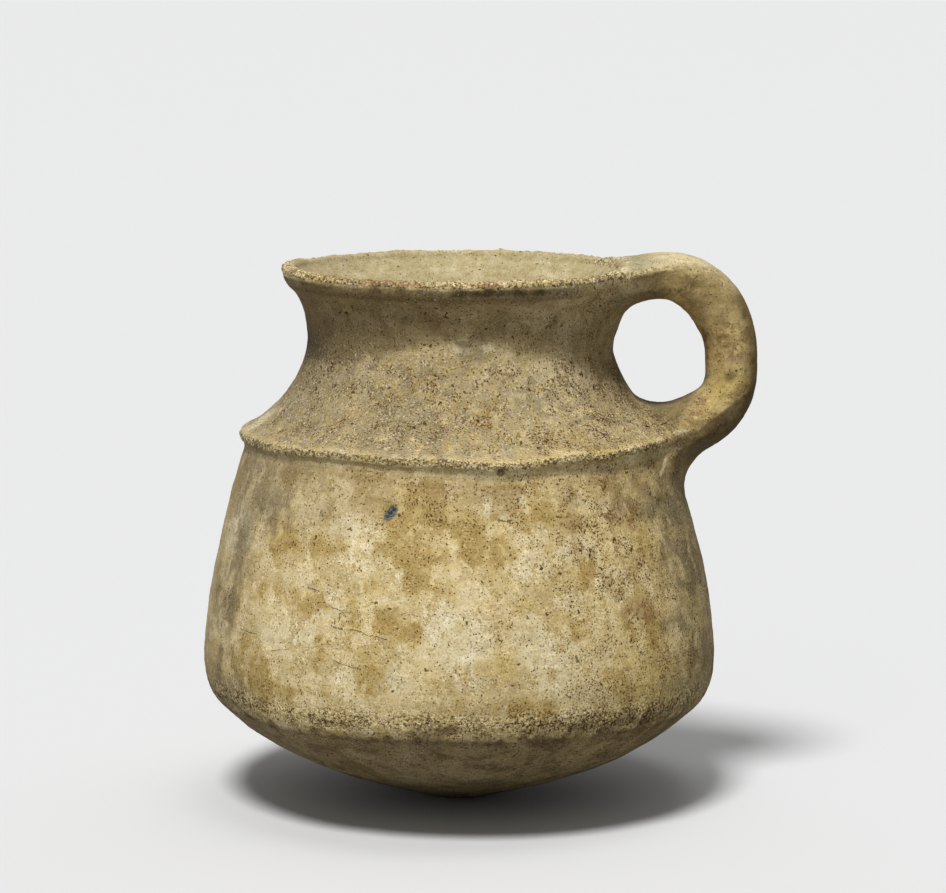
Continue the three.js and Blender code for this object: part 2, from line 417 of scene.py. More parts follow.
# %% Running a tree on a piece
def piece_from(name, points, edges=(), faces=(), values=()):
    """An object in metres from points in mm, with named values on its points."""
    mesh = bpy.data.meshes.new(name)
    mesh.from_pydata((np.asarray(points) * MM).tolist(), edges, faces)
    for label, data in dict(values).items():
        store(mesh, label, data)
    thing = bpy.data.objects.new(name, mesh)
    bpy.context.scene.collection.objects.link(thing)
    return thing


def store(mesh, label, data):
    """Puts one value or vector on every point of a mesh, under a name."""
    data = np.asarray(data, np.float32)
    kind = "FLOAT_VECTOR" if data.ndim == 2 else "FLOAT"
    field = "vector" if data.ndim == 2 else "value"
    mesh.attributes.new(label, kind, "POINT").data.foreach_set(field, data.ravel())


def stored(mesh, label):
    """The named values on a mesh's points."""
    wide = 3 if mesh.attributes[label].data_type == "FLOAT_VECTOR" else 1
    data = np.zeros(len(mesh.vertices) * wide, np.float32)
    mesh.attributes[label].data.foreach_get("vector" if wide == 3 else "value", data)
    return data.reshape(-1, 3).astype(float) if wide == 3 else data.astype(float)


def shaped(thing, tree, inputs):
    """Runs a tree on an object and keeps the result as its plain mesh."""
    modifier = thing.modifiers.new("shape", "NODES")
    modifier.node_group = tree
    for socket in tree.interface.items_tree:
        if socket.name in inputs and socket.in_out == "INPUT":
            modifier[socket.identifier] = inputs[socket.name]
    evaluated = thing.evaluated_get(bpy.context.evaluated_depsgraph_get())
    result = bpy.data.meshes.new_from_object(evaluated)
    thing.modifiers.remove(modifier)
    old, thing.data = thing.data, result
    bpy.data.meshes.remove(old)
    result.name = thing.name
    return thing


# %% [markdown]
# ## The clay
# The finish comes before the shapes, because the trees take it as an input. It starts plain here
# and is written in full further down, once the stains have their places.

# %% An empty material to fill in later
fired_clay = bpy.data.materials.new("fired_buff_clay")
fired_clay.use_nodes = True

# %% [markdown]
# Each ring takes its own stretches of the section, outside and inside. The flat seams where it
# meets its neighbours join them to a closed profile.

# %% The five turned pieces
turning = turning_tree()

# outside stretch, seam points, inside stretch and seam points back, for each ring
rings = {
    "dished_base": ("base", [(47.1, 21.3), (47.1, 24.3)], "floor_inside", []),
    "body_wall": ("wall", [], "wall_inside", [(47.2, 24.3), (47.2, 21.3)]),
    "shoulder_ridge": ("ridge", [(40.1, 75.4), (40.1, 70.5)], None, []),
    "neck_collar": ("collar", [], "collar_inside", [(39.9, 70.5)]),
    "rim_lip": ("lip", [], "lip_inside", []),
}


# a ring's table has radius, height, lean out, lean up, skin, worn, inside and, last, corner
CORNER = 7


def turn_ring(name, outer, seam_in, inner, seam_out):
    """One ring of clay, from its stretches of the section."""
    blocks = []

    def trace(line, lean, skin, inside):
        line = np.array(line, float)
        each = np.ones(len(line))
        corner = 0 * each
        corner[[0, -1]] = 1
        worn = wear_at(*line.T) * (1 - 0.6 * inside) * skin
        blocks.append(np.column_stack([line, lean, skin * each, worn, inside * each, corner]))

    trace(stretches[outer], normals_of(outer), 1, 0)
    if seam_in:
        trace(seam_in, np.zeros((len(seam_in), 2)), 0, 1)
    if inner:
        trace(stretches[inner], normals_of(inner), 1, 1)
    if seam_out:
        trace(seam_out, np.zeros((len(seam_out), 2)), 0, 1)
    rows = np.vstack(blocks)
    repeated = np.flatnonzero(np.linalg.norm(np.diff(rows[:, :2], axis=0), axis=1) < 1e-4)
    rows[repeated, CORNER] = 0
    rows = np.delete(rows, repeated + 1, axis=0)
    last = len(rows) - 1
    edges = [(k, k + 1) for k in range(last)]
    if rows[0, 0] == 0:
        rows[[0, last], CORNER] = 0
    else:
        edges.append((last, 0))
    points = np.column_stack([rows[:, 0] - RAIL, -rows[:, 1], np.zeros(len(rows))])
    thing = piece_from(name, points, edges, values={
        "lean_out": rows[:, 2], "lean_up": rows[:, 3], "skin": rows[:, 4], "worn": rows[:, 5],
        "inside": rows[:, 6], "corner": rows[:, CORNER], "level": rows[:, 1]})
    return shaped(thing, turning, {
        "Rail radius": RAIL * MM, "Columns": COLUMNS, "Clay": fired_clay})


pieces = {name: turn_ring(name + "_clay", *parts) for name, parts in rings.items()}
for name, thing in pieces.items():
    print(name, "faces:", len(thing.data.polygons))

# %% [markdown]
# ## The handle as a field
# The strap and its wads flow into the lip, the neck and the ridge without an edge, as wet clay does
# under a thumb. A loft can't do that, but a distance field can: every point of a fine grid gets its
# distance to the strap and to the pot, the two are blended with a soft minimum, and OpenVDB draws
# the skin where the blend is zero.

# %% Centre line of the strap
GRIP = (54.0, 87.6)
ROOT = (30.5, 101.6)
BURIED = (25.7, 98.3)
centre_line = joined(
    bend(16, BURIED, ROOT),
    bend(120, ROOT, (41.2, 108.3), (54.0, 104.2), GRIP),
    bend(120, GRIP, (54.3, 80.4), (52.4, 76.0), (38.5, 71.8)),
)
along = np.gradient(centre_line, axis=0)
along /= np.linalg.norm(along, axis=1)[:, None]
upward = np.column_stack([-along[:, 1], along[:, 0]])
run = np.r_[0, np.cumsum(np.linalg.norm(np.diff(centre_line, axis=0), axis=1))]
buried = math.dist(BURIED, ROOT)
part = (run - buried) / (run[-1] - buried)
print("strap length in mm:", round(run[-1] - buried, 1))

# Half sizes of the strap's section, and how square it is, along the centre line
to_rim = eased(part, 0.42, 0.0)
to_ridge = eased(part, 0.66, 1.0)
half_thick = 5.2 - 1.2 * to_rim + 1.0 * to_ridge
half_wide = 7.2 + 9.2 * to_rim ** 1.25 + 5.0 * to_ridge
square = 2.4 + 2.2 * eased(part, 0.45, 0.2) + 0.9 * eased(part, 0.7, 0.95)
# How far the strap's edges are drawn down over the lip, how much the lower arm is bevelled on its
# outer face, and how much fuller the strap is on the inner side under the loop's roof
crown = 1.4 * to_rim
bevel = eased(part, 0.68, 0.88)
swell = 0.65 * eased(part, 0.15, 0.3) * eased(part, 0.52, 0.42)
print("strap half thickness in mm:", half_thick.min().round(1), "to", half_thick.max().round(1))

# %% The grid and the pot's own distance
PITCH = 0.36
box_low = np.array([16.5, -25.2, 53.0])
box_high = np.array([61.5, 25.4, 113.0])
axes = [np.arange(low, high, PITCH) for low, high in zip(box_low, box_high)]


def distance_to_section(radius, height):
    """Signed distance to the pot's section at rows of radius and height."""
    near = (section[:, 0] > 20) & (section[:, 1] > 45)
    ends = np.flatnonzero(near[:-1] & near[1:])
    query = np.column_stack([radius.ravel(), height.ravel()])
    best = np.full(len(query), 1e9)
    for a, b in zip(section[ends], section[ends + 1]):
        d = b - a
        t = np.clip(((query - a) @ d) / (d @ d), 0, 1)
        best = np.minimum(best, ((query - a - t[:, None] * d) ** 2).sum(1))
    # a point is in the clay when a level line from it to the right crosses the section oddly
    odd = np.zeros(len(query), bool)
    for a, b in zip(section[:-1], section[1:]):
        if a[1] == b[1]:
            continue
        spans = (a[1] > query[:, 1]) != (b[1] > query[:, 1])
        across = a[0] + (query[:, 1] - a[1]) * (b[0] - a[0]) / (b[1] - a[1])
        odd ^= spans & (query[:, 0] < across)
    return (np.sqrt(best) * np.where(odd, -1, 1)).reshape(radius.shape)


TABLE_STEP = 0.2
table_r = np.arange(18.0, 68.0, TABLE_STEP)
table_z = np.arange(52.0, 114.0, TABLE_STEP)
table = distance_to_section(*np.meshgrid(table_r, table_z, indexing="ij"))


def sampled(grid, r, z):
    """The table's value at radius r and height z, between its points."""
    i = np.clip((r - table_r[0]) / TABLE_STEP, 0, len(table_r) - 1.001)
    j = np.clip((z - table_z[0]) / TABLE_STEP, 0, len(table_z) - 1.001)
    i0, j0 = i.astype(int), j.astype(int)
    fi, fj = i - i0, j - j0
    low = grid[i0, j0] * (1 - fi) + grid[i0 + 1, j0] * fi
    high = grid[i0, j0 + 1] * (1 - fi) + grid[i0 + 1, j0 + 1] * fi
    return low * (1 - fj) + high * fj


# %% [markdown]
# The strap's distance is worked out in the flat plane of the loop and then given its width. Close
# to the pot that plane is bent round the axis, so the wad under the lip hugs the round neck
# instead of standing off it.

# %% Distance to the strap
def soft_min(a, b, k):
    """The smaller of two distances, rounded where they are within k of each other."""
    h = np.clip(0.5 + 0.5 * (b - a) / k, 0, 1)
    return b + (a - b) * h - k * h * (1 - h)


# For each place in the loop's plane: the nearest point of the centre line, how far the place rises
# outwards from it, and how far it lies beyond the strap's ends
flat_x, flat_z = np.meshgrid(axes[0], axes[2], indexing="ij")
flat = np.column_stack([flat_x.ravel(), flat_z.ravel()])
gaps = ((flat[:, None, :] - centre_line[None, ::2, :]) ** 2).sum(2)
foot = gaps.argmin(1) * 2
rise = ((flat - centre_line[foot]) * upward[foot]).sum(1)
beyond = np.abs(((flat - centre_line[foot]) * along[foot]).sum(1)) - 0.3
beyond[(foot > 1) & (foot < len(centre_line) - 3)] = -9
rise, beyond, foot = (values.reshape(flat_x.shape) for values in (rise, beyond, foot))

# The plane hugs the pot's axis fully at 37 mm from it and runs straight on from 47 mm
out = np.hypot(axes[0][:, None], axes[1][None, :])
hug = eased(out, 47, 37)
bent = (axes[0][:, None] * (1 - hug) + out * hug - box_low[0]) / PITCH
left = np.clip(bent.astype(int), 0, len(axes[0]) - 2)


def bent_round(values):
    """A table of the loop's plane, bent round the pot and stretched across the strap."""
    f = (bent - left)[:, :, None]
    return values[left] * (1 - f) + values[left + 1] * f


# a and b are the half sizes, p says how square, and n runs from the centre line to the outer face.
# The form is 1 on the strap's skin, and its steepness turns it into a distance.
sizes = (half_thick, half_wide, square, crown, bevel, swell)
a, b, p, crown, bevel, swell = (bent_round(size[foot]) for size in sizes)
y = np.abs(axes[1])[None, :, None] + 1e-6
n = bent_round(rise) + crown * np.minimum(y / b, 1.3) ** 2
outer = n / a
n = n - 0.3 * bevel * a
p = np.where(n > 0, p + (1.25 - p) * bevel, 2.2 + 0.8 * bevel)
a = np.where(n > 0, a - 0.3 * bevel * a, a + 0.3 * bevel * a + swell)
n = np.abs(n) + 1e-6
form = ((n / a) ** p + (y / b) ** p) ** (1 / p)
steep = np.sqrt((n ** (p - 1) / a ** p) ** 2 + (y ** (p - 1) / b ** p) ** 2) * form ** (1 - p)
strap = np.maximum((form - 1) / np.maximum(steep, 1e-3), bent_round(beyond))

R = np.broadcast_to(out[:, :, None], strap.shape)
H = np.broadcast_to(axes[2][None, None, :], strap.shape)
pot = sampled(table, R, H)

# Inside the mouth the strap stops flush with the inner face of the lip and neck
mouth_line = np.vstack([stretches["collar_inside"][::-1], stretches["lip_inside"][::-1],
                        [(32.4, 114)]])
mouth_radius = np.interp(H, mouth_line[:, 1], mouth_line[:, 0])
strap = -soft_min(-strap, -(mouth_radius - 0.1 - R), 2.5)

# %% The blend and its skin
for way in range(3):
    for _ in range(2):
        strap = (np.roll(strap, 1, way) + 2 * strap + np.roll(strap, -1, way)) / 4

# The fillet between strap and pot by height in mm: wide under the ridge and in the bend of the
# neck, narrower at the lip
heights = axes[2]
fillet = 4.2 + 0.6 * eased(heights, 82, 76) + 3.4 * eased(heights, 74, 67)
fillet = fillet - 1.0 * eased(heights, 101, 105)
fillet = fillet + 3.2 * eased(heights, 81, 92) * eased(heights, 99.5, 94)
fillet = fillet[None, None, :]

# The skin is drawn in by SHRINK. It ends SUNK below the pot's own surface, and where the fillet
# ends. The grid holds distances up to BAND.
SHRINK = 0.06
SUNK = 0.75
BAND = 3.0
whole = soft_min(strap, pot, fillet) + SHRINK
clay = np.maximum(np.maximum(whole, -(pot + SUNK)), strap - fillet + 0.2)

grid = openvdb.FloatGrid(BAND)
grid.copyFromArray(np.clip(clay, -BAND, BAND).astype(np.float32))
points, quads = grid.convertToQuads(isovalue=0.0)
points = points.astype(float)
print("points on the handle's skin:", len(points))


def at_points(field, points):
    """A field's values at points given in grid steps."""
    i0 = np.clip(points.astype(int), 0, np.array(field.shape) - 2)
    f = points - i0
    value = 0
    for corner in range(8):
        bits = [(corner >> k) & 1 for k in range(3)]
        weight = np.prod([f[:, k] if bit else 1 - f[:, k] for k, bit in enumerate(bits)], axis=0)
        value = value + weight * field[i0[:, 0] + bits[0], i0[:, 1] + bits[1], i0[:, 2] + bits[2]]
    return value


# %% [markdown]
# The skin's points carry values for the tree and the finish: which way they face, how worn they
# are, how much they belong to the handle (`handled`), whether they stand off the pot at all
# (`proud`) and how far they lie towards the strap's outer face (`outer`).

# %% Values on the handle's skin
slopes = np.gradient(whole.astype(np.float32), PITCH)
facing = np.column_stack([at_points(g, points) for g in slopes])
facing /= np.maximum(np.linalg.norm(facing, axis=1), 1e-6)[:, None]
place = box_low + points * PITCH
pot_gap, outer = at_points(pot, points), at_points(outer, points)

# wear runs on from the lip and the ridge along the strap's two edges, and the ridge's wear climbs
# the wad as it runs out; the crest over the lip is rubbed smooth
radius = np.hypot(place[:, 0], place[:, 1])
edge = eased(np.abs(facing[:, 1]), 0.3, 0.6) * eased(np.abs(facing[:, 1]), 0.95, 0.75)
edge *= eased(facing[:, 2], 0.2, 0.5) * eased(place[:, 0], 44, 39) * 0.6
inward = -(facing[:, :2] * place[:, :2]).sum(1) / radius
crest = eased(facing[:, 2], 0.5, 0.8) * eased(place[:, 0], 28, 33) * eased(place[:, 2], 95, 99)
risen = 0.5 * np.maximum(place[:, 0] - 37, 0) * eased(place[:, 2], 85, 80)
pot_wear = wear_at(radius - risen, place[:, 2] - risen) * eased(pot_gap, 3.2, 0.4)
pot_wear *= 1 - 0.7 * crest
handle = piece_from("handle_clay", place, faces=quads.tolist(), values={
    "outward": facing, "skin": eased(pot_gap, -0.6, -0.05),
    "worn": np.maximum(pot_wear, edge * eased(pot_gap, -0.2, 1.0)),
    "inside": eased(inward, 0.1, 0.6) * (radius < 33), "corner": np.zeros(len(place)),
    "level": place[:, 2],
    "handled": eased(pot_gap, 0.6, 4.0), "proud": eased(pot_gap, 0.1, 1.5), "outer": outer})
shaped(handle, handling_tree(), {"Clay": fired_clay})
print("handle faces:", len(handle.data.polygons))

# %% [markdown]
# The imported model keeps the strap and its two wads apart, so the skin is cut across the strap
# where the wads end, and every cut is closed. Both sides keep the same rim of points.

# %% Cutting the handle where its clay was joined
RIM_JOINT = np.searchsorted(part, 0.185)
RIDGE_JOINT = np.searchsorted(part, 0.83)
HALF_WAY = 90 * MM


def beyond_joint(centre, joint):
    """How far a place is along the strap from a joint, in mm."""
    flat = np.array([centre.x, centre.z]) / MM
    return float((flat - centre_line[joint]) @ along[joint])


def clay_of(face):
    """Which of the handle's three pieces a face belongs to."""
    centre = face.calc_center_median()
    if centre.z > HALF_WAY:
        return "rim_wad" if beyond_joint(centre, RIM_JOINT) < 0 else "handle_strap"
    return "ridge_wad" if beyond_joint(centre, RIDGE_JOINT) > 0 else "handle_strap"


uncut = bmesh.new()
uncut.from_mesh(handle.data)
# this layer will mark the faces that close a cut
uncut.faces.layers.int.new("cap")
for joint, upper in ((RIM_JOINT, True), (RIDGE_JOINT, False)):
    near = [f for f in uncut.faces if (f.calc_center_median().z > HALF_WAY) == upper]
    rims = {e for f in near for e in f.edges}
    tips = {v for f in near for v in f.verts}
    at, ahead = centre_line[joint] * MM, along[joint]
    bmesh.ops.bisect_plane(uncut, geom=[*near, *rims, *tips], dist=1e-7,
                           plane_co=(at[0], 0, at[1]), plane_no=(ahead[0], 0, ahead[1]))

for name in ("handle_strap", "rim_wad", "ridge_wad"):
    piece = uncut.copy()
    layer = piece.faces.layers.int["cap"]
    others = [f for f in piece.faces if clay_of(f) != name]
    bmesh.ops.delete(piece, geom=others, context="FACES")
    rims = [e for e in piece.edges if e.is_boundary]
    for face in bmesh.ops.holes_fill(piece, edges=rims, sides=0)["faces"]:
        face[layer] = 1
    mesh = bpy.data.meshes.new(name + "_clay")
    piece.to_mesh(mesh)
    piece.free()
    mesh.materials.append(fired_clay)
    pieces[name] = bpy.data.objects.new(name + "_clay", mesh)
    bpy.context.scene.collection.objects.link(pieces[name])
uncut.free()
bpy.data.objects.remove(handle)
print("pieces made:", sorted(pieces))

# %% [markdown]
# ## Marks with a place of their own
# Some marks belong to this pot alone: a chip that shows dark clay, a notch under the ridge where
# the thumb pressed, nicks, and stains where something dripped or lay against it. Each is a soft
# oval on the skin, placed by its turn about the axis (the handle is at 0 degrees, the front at
# -90) and its height. The stains only say where and how much. Their ragged edges come later, from
# fractal noise in the finish. A seeded generator adds small presses all round, and stains on the
# side away from the front.

# %% Ovals on the skin
def points_of(mesh):
    """A mesh's points in mm."""
    at = np.zeros(len(mesh.vertices) * 3)
    mesh.vertices.foreach_get("co", at)
    return at.reshape(-1, 3) / MM


def oval(at, level, turn, height, wide, tall, lean=0.0, power=1.5):
    """1 inside a soft oval, 0 outside. Half sizes in mm, lean to the right in degrees."""
    angle = np.degrees(np.arctan2(at[:, 1], at[:, 0])) - turn
    across = np.radians((angle + 180) % 360 - 180) * np.hypot(at[:, 0], at[:, 1])
    up = level - height
    c, s = math.cos(math.radians(lean)), math.sin(math.radians(lean))
    away = ((across * c - up * s) / wide) ** 2 + ((up * c + across * s) / tall) ** 2
    return np.exp(-away ** power)


# %% Presses, pits and the chip
# the dark chip in the wall: turn, height, half width, half height, lean
CHIP = (-107.0, 63.9, 1.0, 1.8, 34)

# turn, height, half width, half height, lean, depth
presses = [
    (-106.9, 63.9, 1.0, 1.7, 34, 0.6),
    (-79.6, 72.5, 0.8, 0.6, 0, 0.8),
    (-126, 48.6, 1.3, 0.7, -30, 0.35),
    (-63, 22.6, 1.6, 1.0, 20, 0.5),
    (-92, 23.0, 1.3, 0.8, 0, 0.5),
    (-118, 23.6, 3.6, 0.5, 4, 0.35),
    (-134, 75.4, 3.0, 1.0, 8, 0.3),
    (-52, 78.9, 2.2, 0.5, -12, 0.3),
    (-29, 62.0, 2.6, 1.2, 0, 0.35),
]
chance = np.random.default_rng(17)
for _ in range(46):
    presses.append((chance.uniform(0, 360), chance.uniform(4, 104), chance.uniform(0.7, 1.6),
                    chance.uniform(0.5, 1.0), chance.uniform(-80, 80), chance.uniform(0.1, 0.3)))

# x, y, z, half size and depth of pits on the handle
pits = [(50.4, -7.2, 91.9, 1.1, 0.6), (53.2, -7.2, 84.4, 1.3, 0.7), (56.0, -5.0, 96.5, 1.2, 0.4),
        (46.0, -8.0, 103.0, 1.4, 0.4), (53.0, 7.2, 90.0, 1.2, 0.5), (50.0, 7.0, 81.0, 1.3, 0.5)]

for thing in pieces.values():
    mesh = thing.data
    at, level = points_of(mesh), stored(mesh, "level")
    depth = np.zeros(len(at))
    for turn, height, wide, tall, lean, deep in presses:
        depth = np.maximum(depth, deep * oval(at, level, turn, height, wide, tall, lean))
    for x, y, z, size, deep in pits:
        away = ((at - (x, y, z)) ** 2).sum(1) / size ** 2
        depth = np.maximum(depth, deep * np.exp(-away ** 1.5))
    depth *= stored(mesh, "skin") * (1 - stored(mesh, "inside"))
    pressed = (at - stored(mesh, "outward") * depth[:, None]) * MM
    mesh.vertices.foreach_set("co", pressed.ravel())
    store(mesh, "pressed", depth)
print("presses:", len(presses), "pits:", len(pits))

# %% [markdown]
# The stains are grouped by what they do to the clay: ochre and yellow from iron and drips, grey
# from smoke, rust where pepper-like grains show, and pale where the slip is thick or rubbed clean.
# On the handle, pale also holds painted light on the faces that look up.

# %% Stains by turn and height
# turn, height, half width, half height, strength
stains = {
    "ochre": [
        (-99, 63.2, 2.4, 1.2, 0.6), (-69, 62.6, 2.4, 1.2, 0.7), (-84, 56.2, 2.2, 1.4, 0.6),
        (-100, 66.8, 3.2, 1.8, 1.0), (-70, 66.4, 3.0, 1.6, 0.9), (-87, 61.8, 3.0, 2.0, 1.0),
        (-45, 39.4, 4.0, 3.0, 0.8), (-55, 31.4, 3.0, 2.0, 0.45), (-137, 58.2, 3.7, 3.8, 0.8),
        (-126, 56.6, 5.8, 1.8, 0.7), (-128, 46.4, 5.0, 2.8, 0.75), (-114, 47.6, 2.8, 5.5, 0.7),
        (-104, 57.6, 4.1, 3.6, 1.0), (-98, 65.0, 5.4, 3.4, 0.75), (-96, 50.3, 4.4, 2.2, 0.95),
        (-114, 70.0, 2.6, 1.2, 0.55), (-70, 64.0, 4.2, 2.8, 1.0), (-84, 57.6, 4.2, 3.4, 1.0),
        (-99, 57.0, 3.0, 2.0, 0.6), (-89, 61.0, 2.4, 3.2, 0.6), (-59, 52.4, 2.1, 2.0, 0.5),
        (-61, 50.4, 1.8, 2.4, 0.35), (-39, 55.2, 4.0, 2.6, 0.9), (-121, 39.6, 1.8, 1.4, 1.0),
        (-121, 35.6, 2.5, 2.4, 0.85), (-119, 31.0, 1.8, 2.8, 0.5), (-103, 43.0, 5.0, 3.2, 0.6),
        (-100, 42.2, 1.4, 3.6, 0.65), (-109, 31.8, 2.9, 3.0, 0.7), (-111, 38.4, 2.5, 1.6, 0.45),
        (-139, 30.8, 8.5, 4.3, 0.7), (-146, 36.2, 2.8, 1.2, 0.4), (-100, 35.0, 1.6, 1.2, 0.6),
        (-90, 29.2, 1.6, 2.0, 0.6), (-66, 40.8, 2.8, 2.0, 0.5), (-62, 44.4, 3.0, 1.4, 0.35),
        (-54, 33.2, 3.0, 3.0, 0.4), (-29, 30.6, 4.9, 4.9, 0.5), (-81, 27.4, 7.0, 1.8, 1.1),
        (-93, 64.4, 3.2, 1.6, 0.7), (-48, 25.0, 7.4, 1.6, 0.55), (-45, 20.8, 5.1, 1.8, 0.5),
        (-84, 80.6, 2.8, 2.6, 0.5), (-73, 80.2, 3.1, 2.1, 0.5), (-151, 45.6, 8.1, 5.1, 0.45),
        (-144, 61.0, 3.6, 2.6, 0.9), (-100, 62.6, 3.6, 2.2, 0.9), (-103, 59.0, 3.0, 1.6, 0.8),
        (-134, 28.2, 7.0, 2.4, 0.7), (-148, 32.0, 5.0, 2.4, 0.7),
    ],
    "yellow": [
        (-8, 86.4, 4.0, 2.5, 1.2), (-126, 70.8, 4.9, 1.2, 0.6), (-70, 65.0, 2.9, 1.8, 0.7),
        (-80, 47.6, 4.4, 1.6, 0.7), (-77, 70.4, 7.1, 1.0, 0.7), (-92, 27.6, 2.4, 1.0, 0.8),
        (-82, 35.4, 3.2, 2.0, 0.8), (-104, 62.6, 2.9, 1.6, 0.5), (-88, 44.6, 2.4, 1.6, 0.4),
        (-51, 76.2, 5.1, 1.6, 0.5), (-120, 65.6, 3.2, 1.2, 0.5),
    ],
    "smoke": [
        (-140, 66.0, 16, 5.0, 0.4), (-152, 60.0, 9.0, 9.0, 0.3), (-60, 96.0, 16, 5.0, 0.3),
        (-146, 63.0, 6.3, 2.8, 0.7), (-140, 69.4, 1.8, 1.0, 0.9), (-156, 69.2, 9.8, 3.6, 0.55),
        (-158, 42.6, 5.4, 9.9, 0.6), (-151, 51.4, 4.9, 4.0, 0.45), (-42, 22.8, 14.0, 1.1, 0.85),
        (-150, 26.5, 7.0, 3.2, 0.8), (-24, 61.2, 3.8, 2.6, 2.0), (-16, 47.8, 3.0, 2.4, 0.8),
        (-22, 48.5, 4.4, 4.0, 1.4), (-150, 25.4, 4.0, 1.6, 0.9), (-105, 76.4, 8.0, 2.4, 1.0),
        (-107, 82.0, 5.0, 3.0, 0.5), (-48, 23.4, 6.0, 1.0, 0.6), (-150, 79.0, 6.0, 1.6, 0.9),
        (-106, 82.2, 3.0, 1.6, 0.6), (-29, 78.6, 4.0, 1.6, 0.7), (-161, 68.6, 5.0, 2.2, 1.0),
        (-143, 61.4, 3.4, 2.4, 1.0), (-152, 23.2, 5.0, 1.3, 1.0), (-43, 67.8, 4.0, 1.8, 0.8),
        (-30, 53.8, 3.0, 2.4, 0.8), (-48, 23.0, 5.0, 1.0, 0.6), (-35, 61.4, 3.5, 1.6, 0.7),
        (-27, 62.4, 3.1, 1.2, 0.8), (-104, 21.0, 4.1, 1.2, 0.5), (-96, 20.6, 4.0, 2.9, 0.7),
        (-117, 21.0, 6.7, 0.8, 0.7), (-63, 22.6, 2.0, 1.2, 0.95), (-86, 21.0, 5.0, 1.6, 0.55),
        (-66, 18.2, 4.7, 4.3, 0.5), (-76, 15.6, 8.2, 3.6, 0.4), (-128, 97.4, 14.9, 3.6, 0.3),
        (-138, 76.4, 4.2, 1.6, 0.7), (-117, 77.0, 2.2, 1.3, 0.5), (-90, 97.2, 9.9, 2.4, 0.35),
        (-34, 40.2, 3.6, 1.6, 0.7), (-38, 65.8, 8.3, 2.8, 0.45), (-86, 91.6, 2.8, 1.0, 0.4),
        (-60, 88.6, 9.0, 1.6, 0.4), (-118, 89.0, 12, 1.8, 0.25), (-147, 92.0, 8.0, 6.0, 0.4),
        (-110, 80.5, 9.0, 2.0, 0.3), (-60, 82.0, 6.0, 2.4, 0.3),
    ],
    "rust": [
        (-52, 60.8, 7.5, 3.6, 0.6), (-46, 43.4, 3.3, 1.8, 0.7), (-92, 24.0, 1.6, 0.8, 0.8),
        (-87, 25.0, 2.0, 1.0, 0.7), (-59, 71.8, 5.7, 1.2, 0.9), (-78, 32.0, 1.2, 1.0, 0.8),
        (-71, 34.0, 2.1, 1.2, 0.5), (-118, 106.5, 9.0, 0.6, 1.4), (-104, 105.8, 4.0, 0.5, 0.8),
        (-80, 106.0, 4.0, 0.5, 0.8), (-80, 105.4, 1.6, 0.8, 0.9), (-122, 67.0, 1.2, 0.8, 0.5),
        (-100, 99.0, 5.0, 3.0, 0.35), (-42, 70.2, 4.0, 1.8, 0.4),
    ],
    "soot": [
        (-124, 105.4, 4, 0.4, 0.7), (-106, 105.1, 6, 0.4, 0.75), (-79, 105.0, 6, 0.4, 0.8),
        (-73, 104.3, 6, 0.5, 0.9), (-92, 104.3, 8, 0.4, 0.6), (-130, 105.0, 3, 0.4, 0.6),
        (-63, 22.2, 2.6, 1.0, 0.6), (-79.6, 72.4, 0.6, 0.5, 0.8), (-96, 20.4, 9, 0.5, 0.4),
    ],
    "pale": [
        (-164, 106.2, 3.0, 0.8, 1.0), (-36, 105.4, 3.0, 0.6, 1.0), (-56, 105.0, 3.0, 0.5, 0.8),
        (-163, 80.4, 4.0, 1.8, 1.2), (-152, 84.4, 3.0, 1.6, 0.9), (-50, 70.4, 2.6, 1.0, 1.0),
        (-78, 65.8, 2.6, 1.2, 0.8), (-33, 63.8, 2.4, 1.4, 1.2), (-102, 51.8, 2.6, 1.6, 0.8),
        (-49, 63.2, 2.6, 1.4, 0.9), (-156, 55.4, 3.6, 2.6, 1.0), (-43, 84.8, 3.0, 1.4, 0.8),
        (-156, 56.8, 4.0, 3.4, 1.3), (-171, 76.4, 4.0, 2.4, 1.2), (-60, 56.2, 3.0, 2.0, 1.3),
        (-85, 94.6, 3.0, 0.8, 1.5), (-54, 50.2, 3.0, 2.0, 0.9), (-122, 46.8, 3.0, 2.0, 0.9),
        (-78, 65.8, 3.0, 1.4, 0.8), (-114, 56.2, 4.8, 4.0, 0.6), (-60, 66.0, 3.2, 1.6, 0.7),
        (-61, 56.2, 3.0, 1.6, 0.9), (-78, 65.7, 3.2, 1.8, 1.4), (-51, 70.6, 3.0, 1.2, 0.8),
        (-81, 71.2, 5.0, 1.0, 0.7), (-63, 25.2, 4.0, 1.4, 0.8), (-56, 85.6, 8.0, 2.4, 0.5),
        (-52, 49.4, 3.0, 2.4, 0.8), (-65, 47.4, 2.5, 1.6, 0.6), (-68, 37.8, 4.0, 2.6, 0.9),
        (-60, 30.2, 2.6, 1.6, 0.6), (-107, 46.6, 3.0, 1.4, 0.7), (-72, 60.8, 2.9, 1.4, 0.8),
        (-74, 54.8, 4.1, 3.2, 0.6), (-129, 39.2, 7.7, 3.2, 0.6), (-95, 43.6, 2.8, 4.7, 0.75),
        (-116, 32.0, 2.2, 2.4, 0.6), (-103, 33.4, 2.4, 2.4, 0.5), (-57, 22.0, 3.3, 1.2, 0.7),
        (-68, 32.2, 5.3, 2.8, 0.5), (-74, 41.0, 2.9, 3.2, 0.8), (-88, 40.6, 3.2, 6.9, 0.85),
        (-58, 36.8, 2.8, 2.4, 0.5), (-116, 45.6, 1.5, 4.0, 0.5), (-86, 93.4, 5.2, 0.8, 0.6),
        (-117, 61.2, 4.0, 2.0, 0.4), (-82, 64.6, 4.0, 2.4, 0.4),
    ],
}
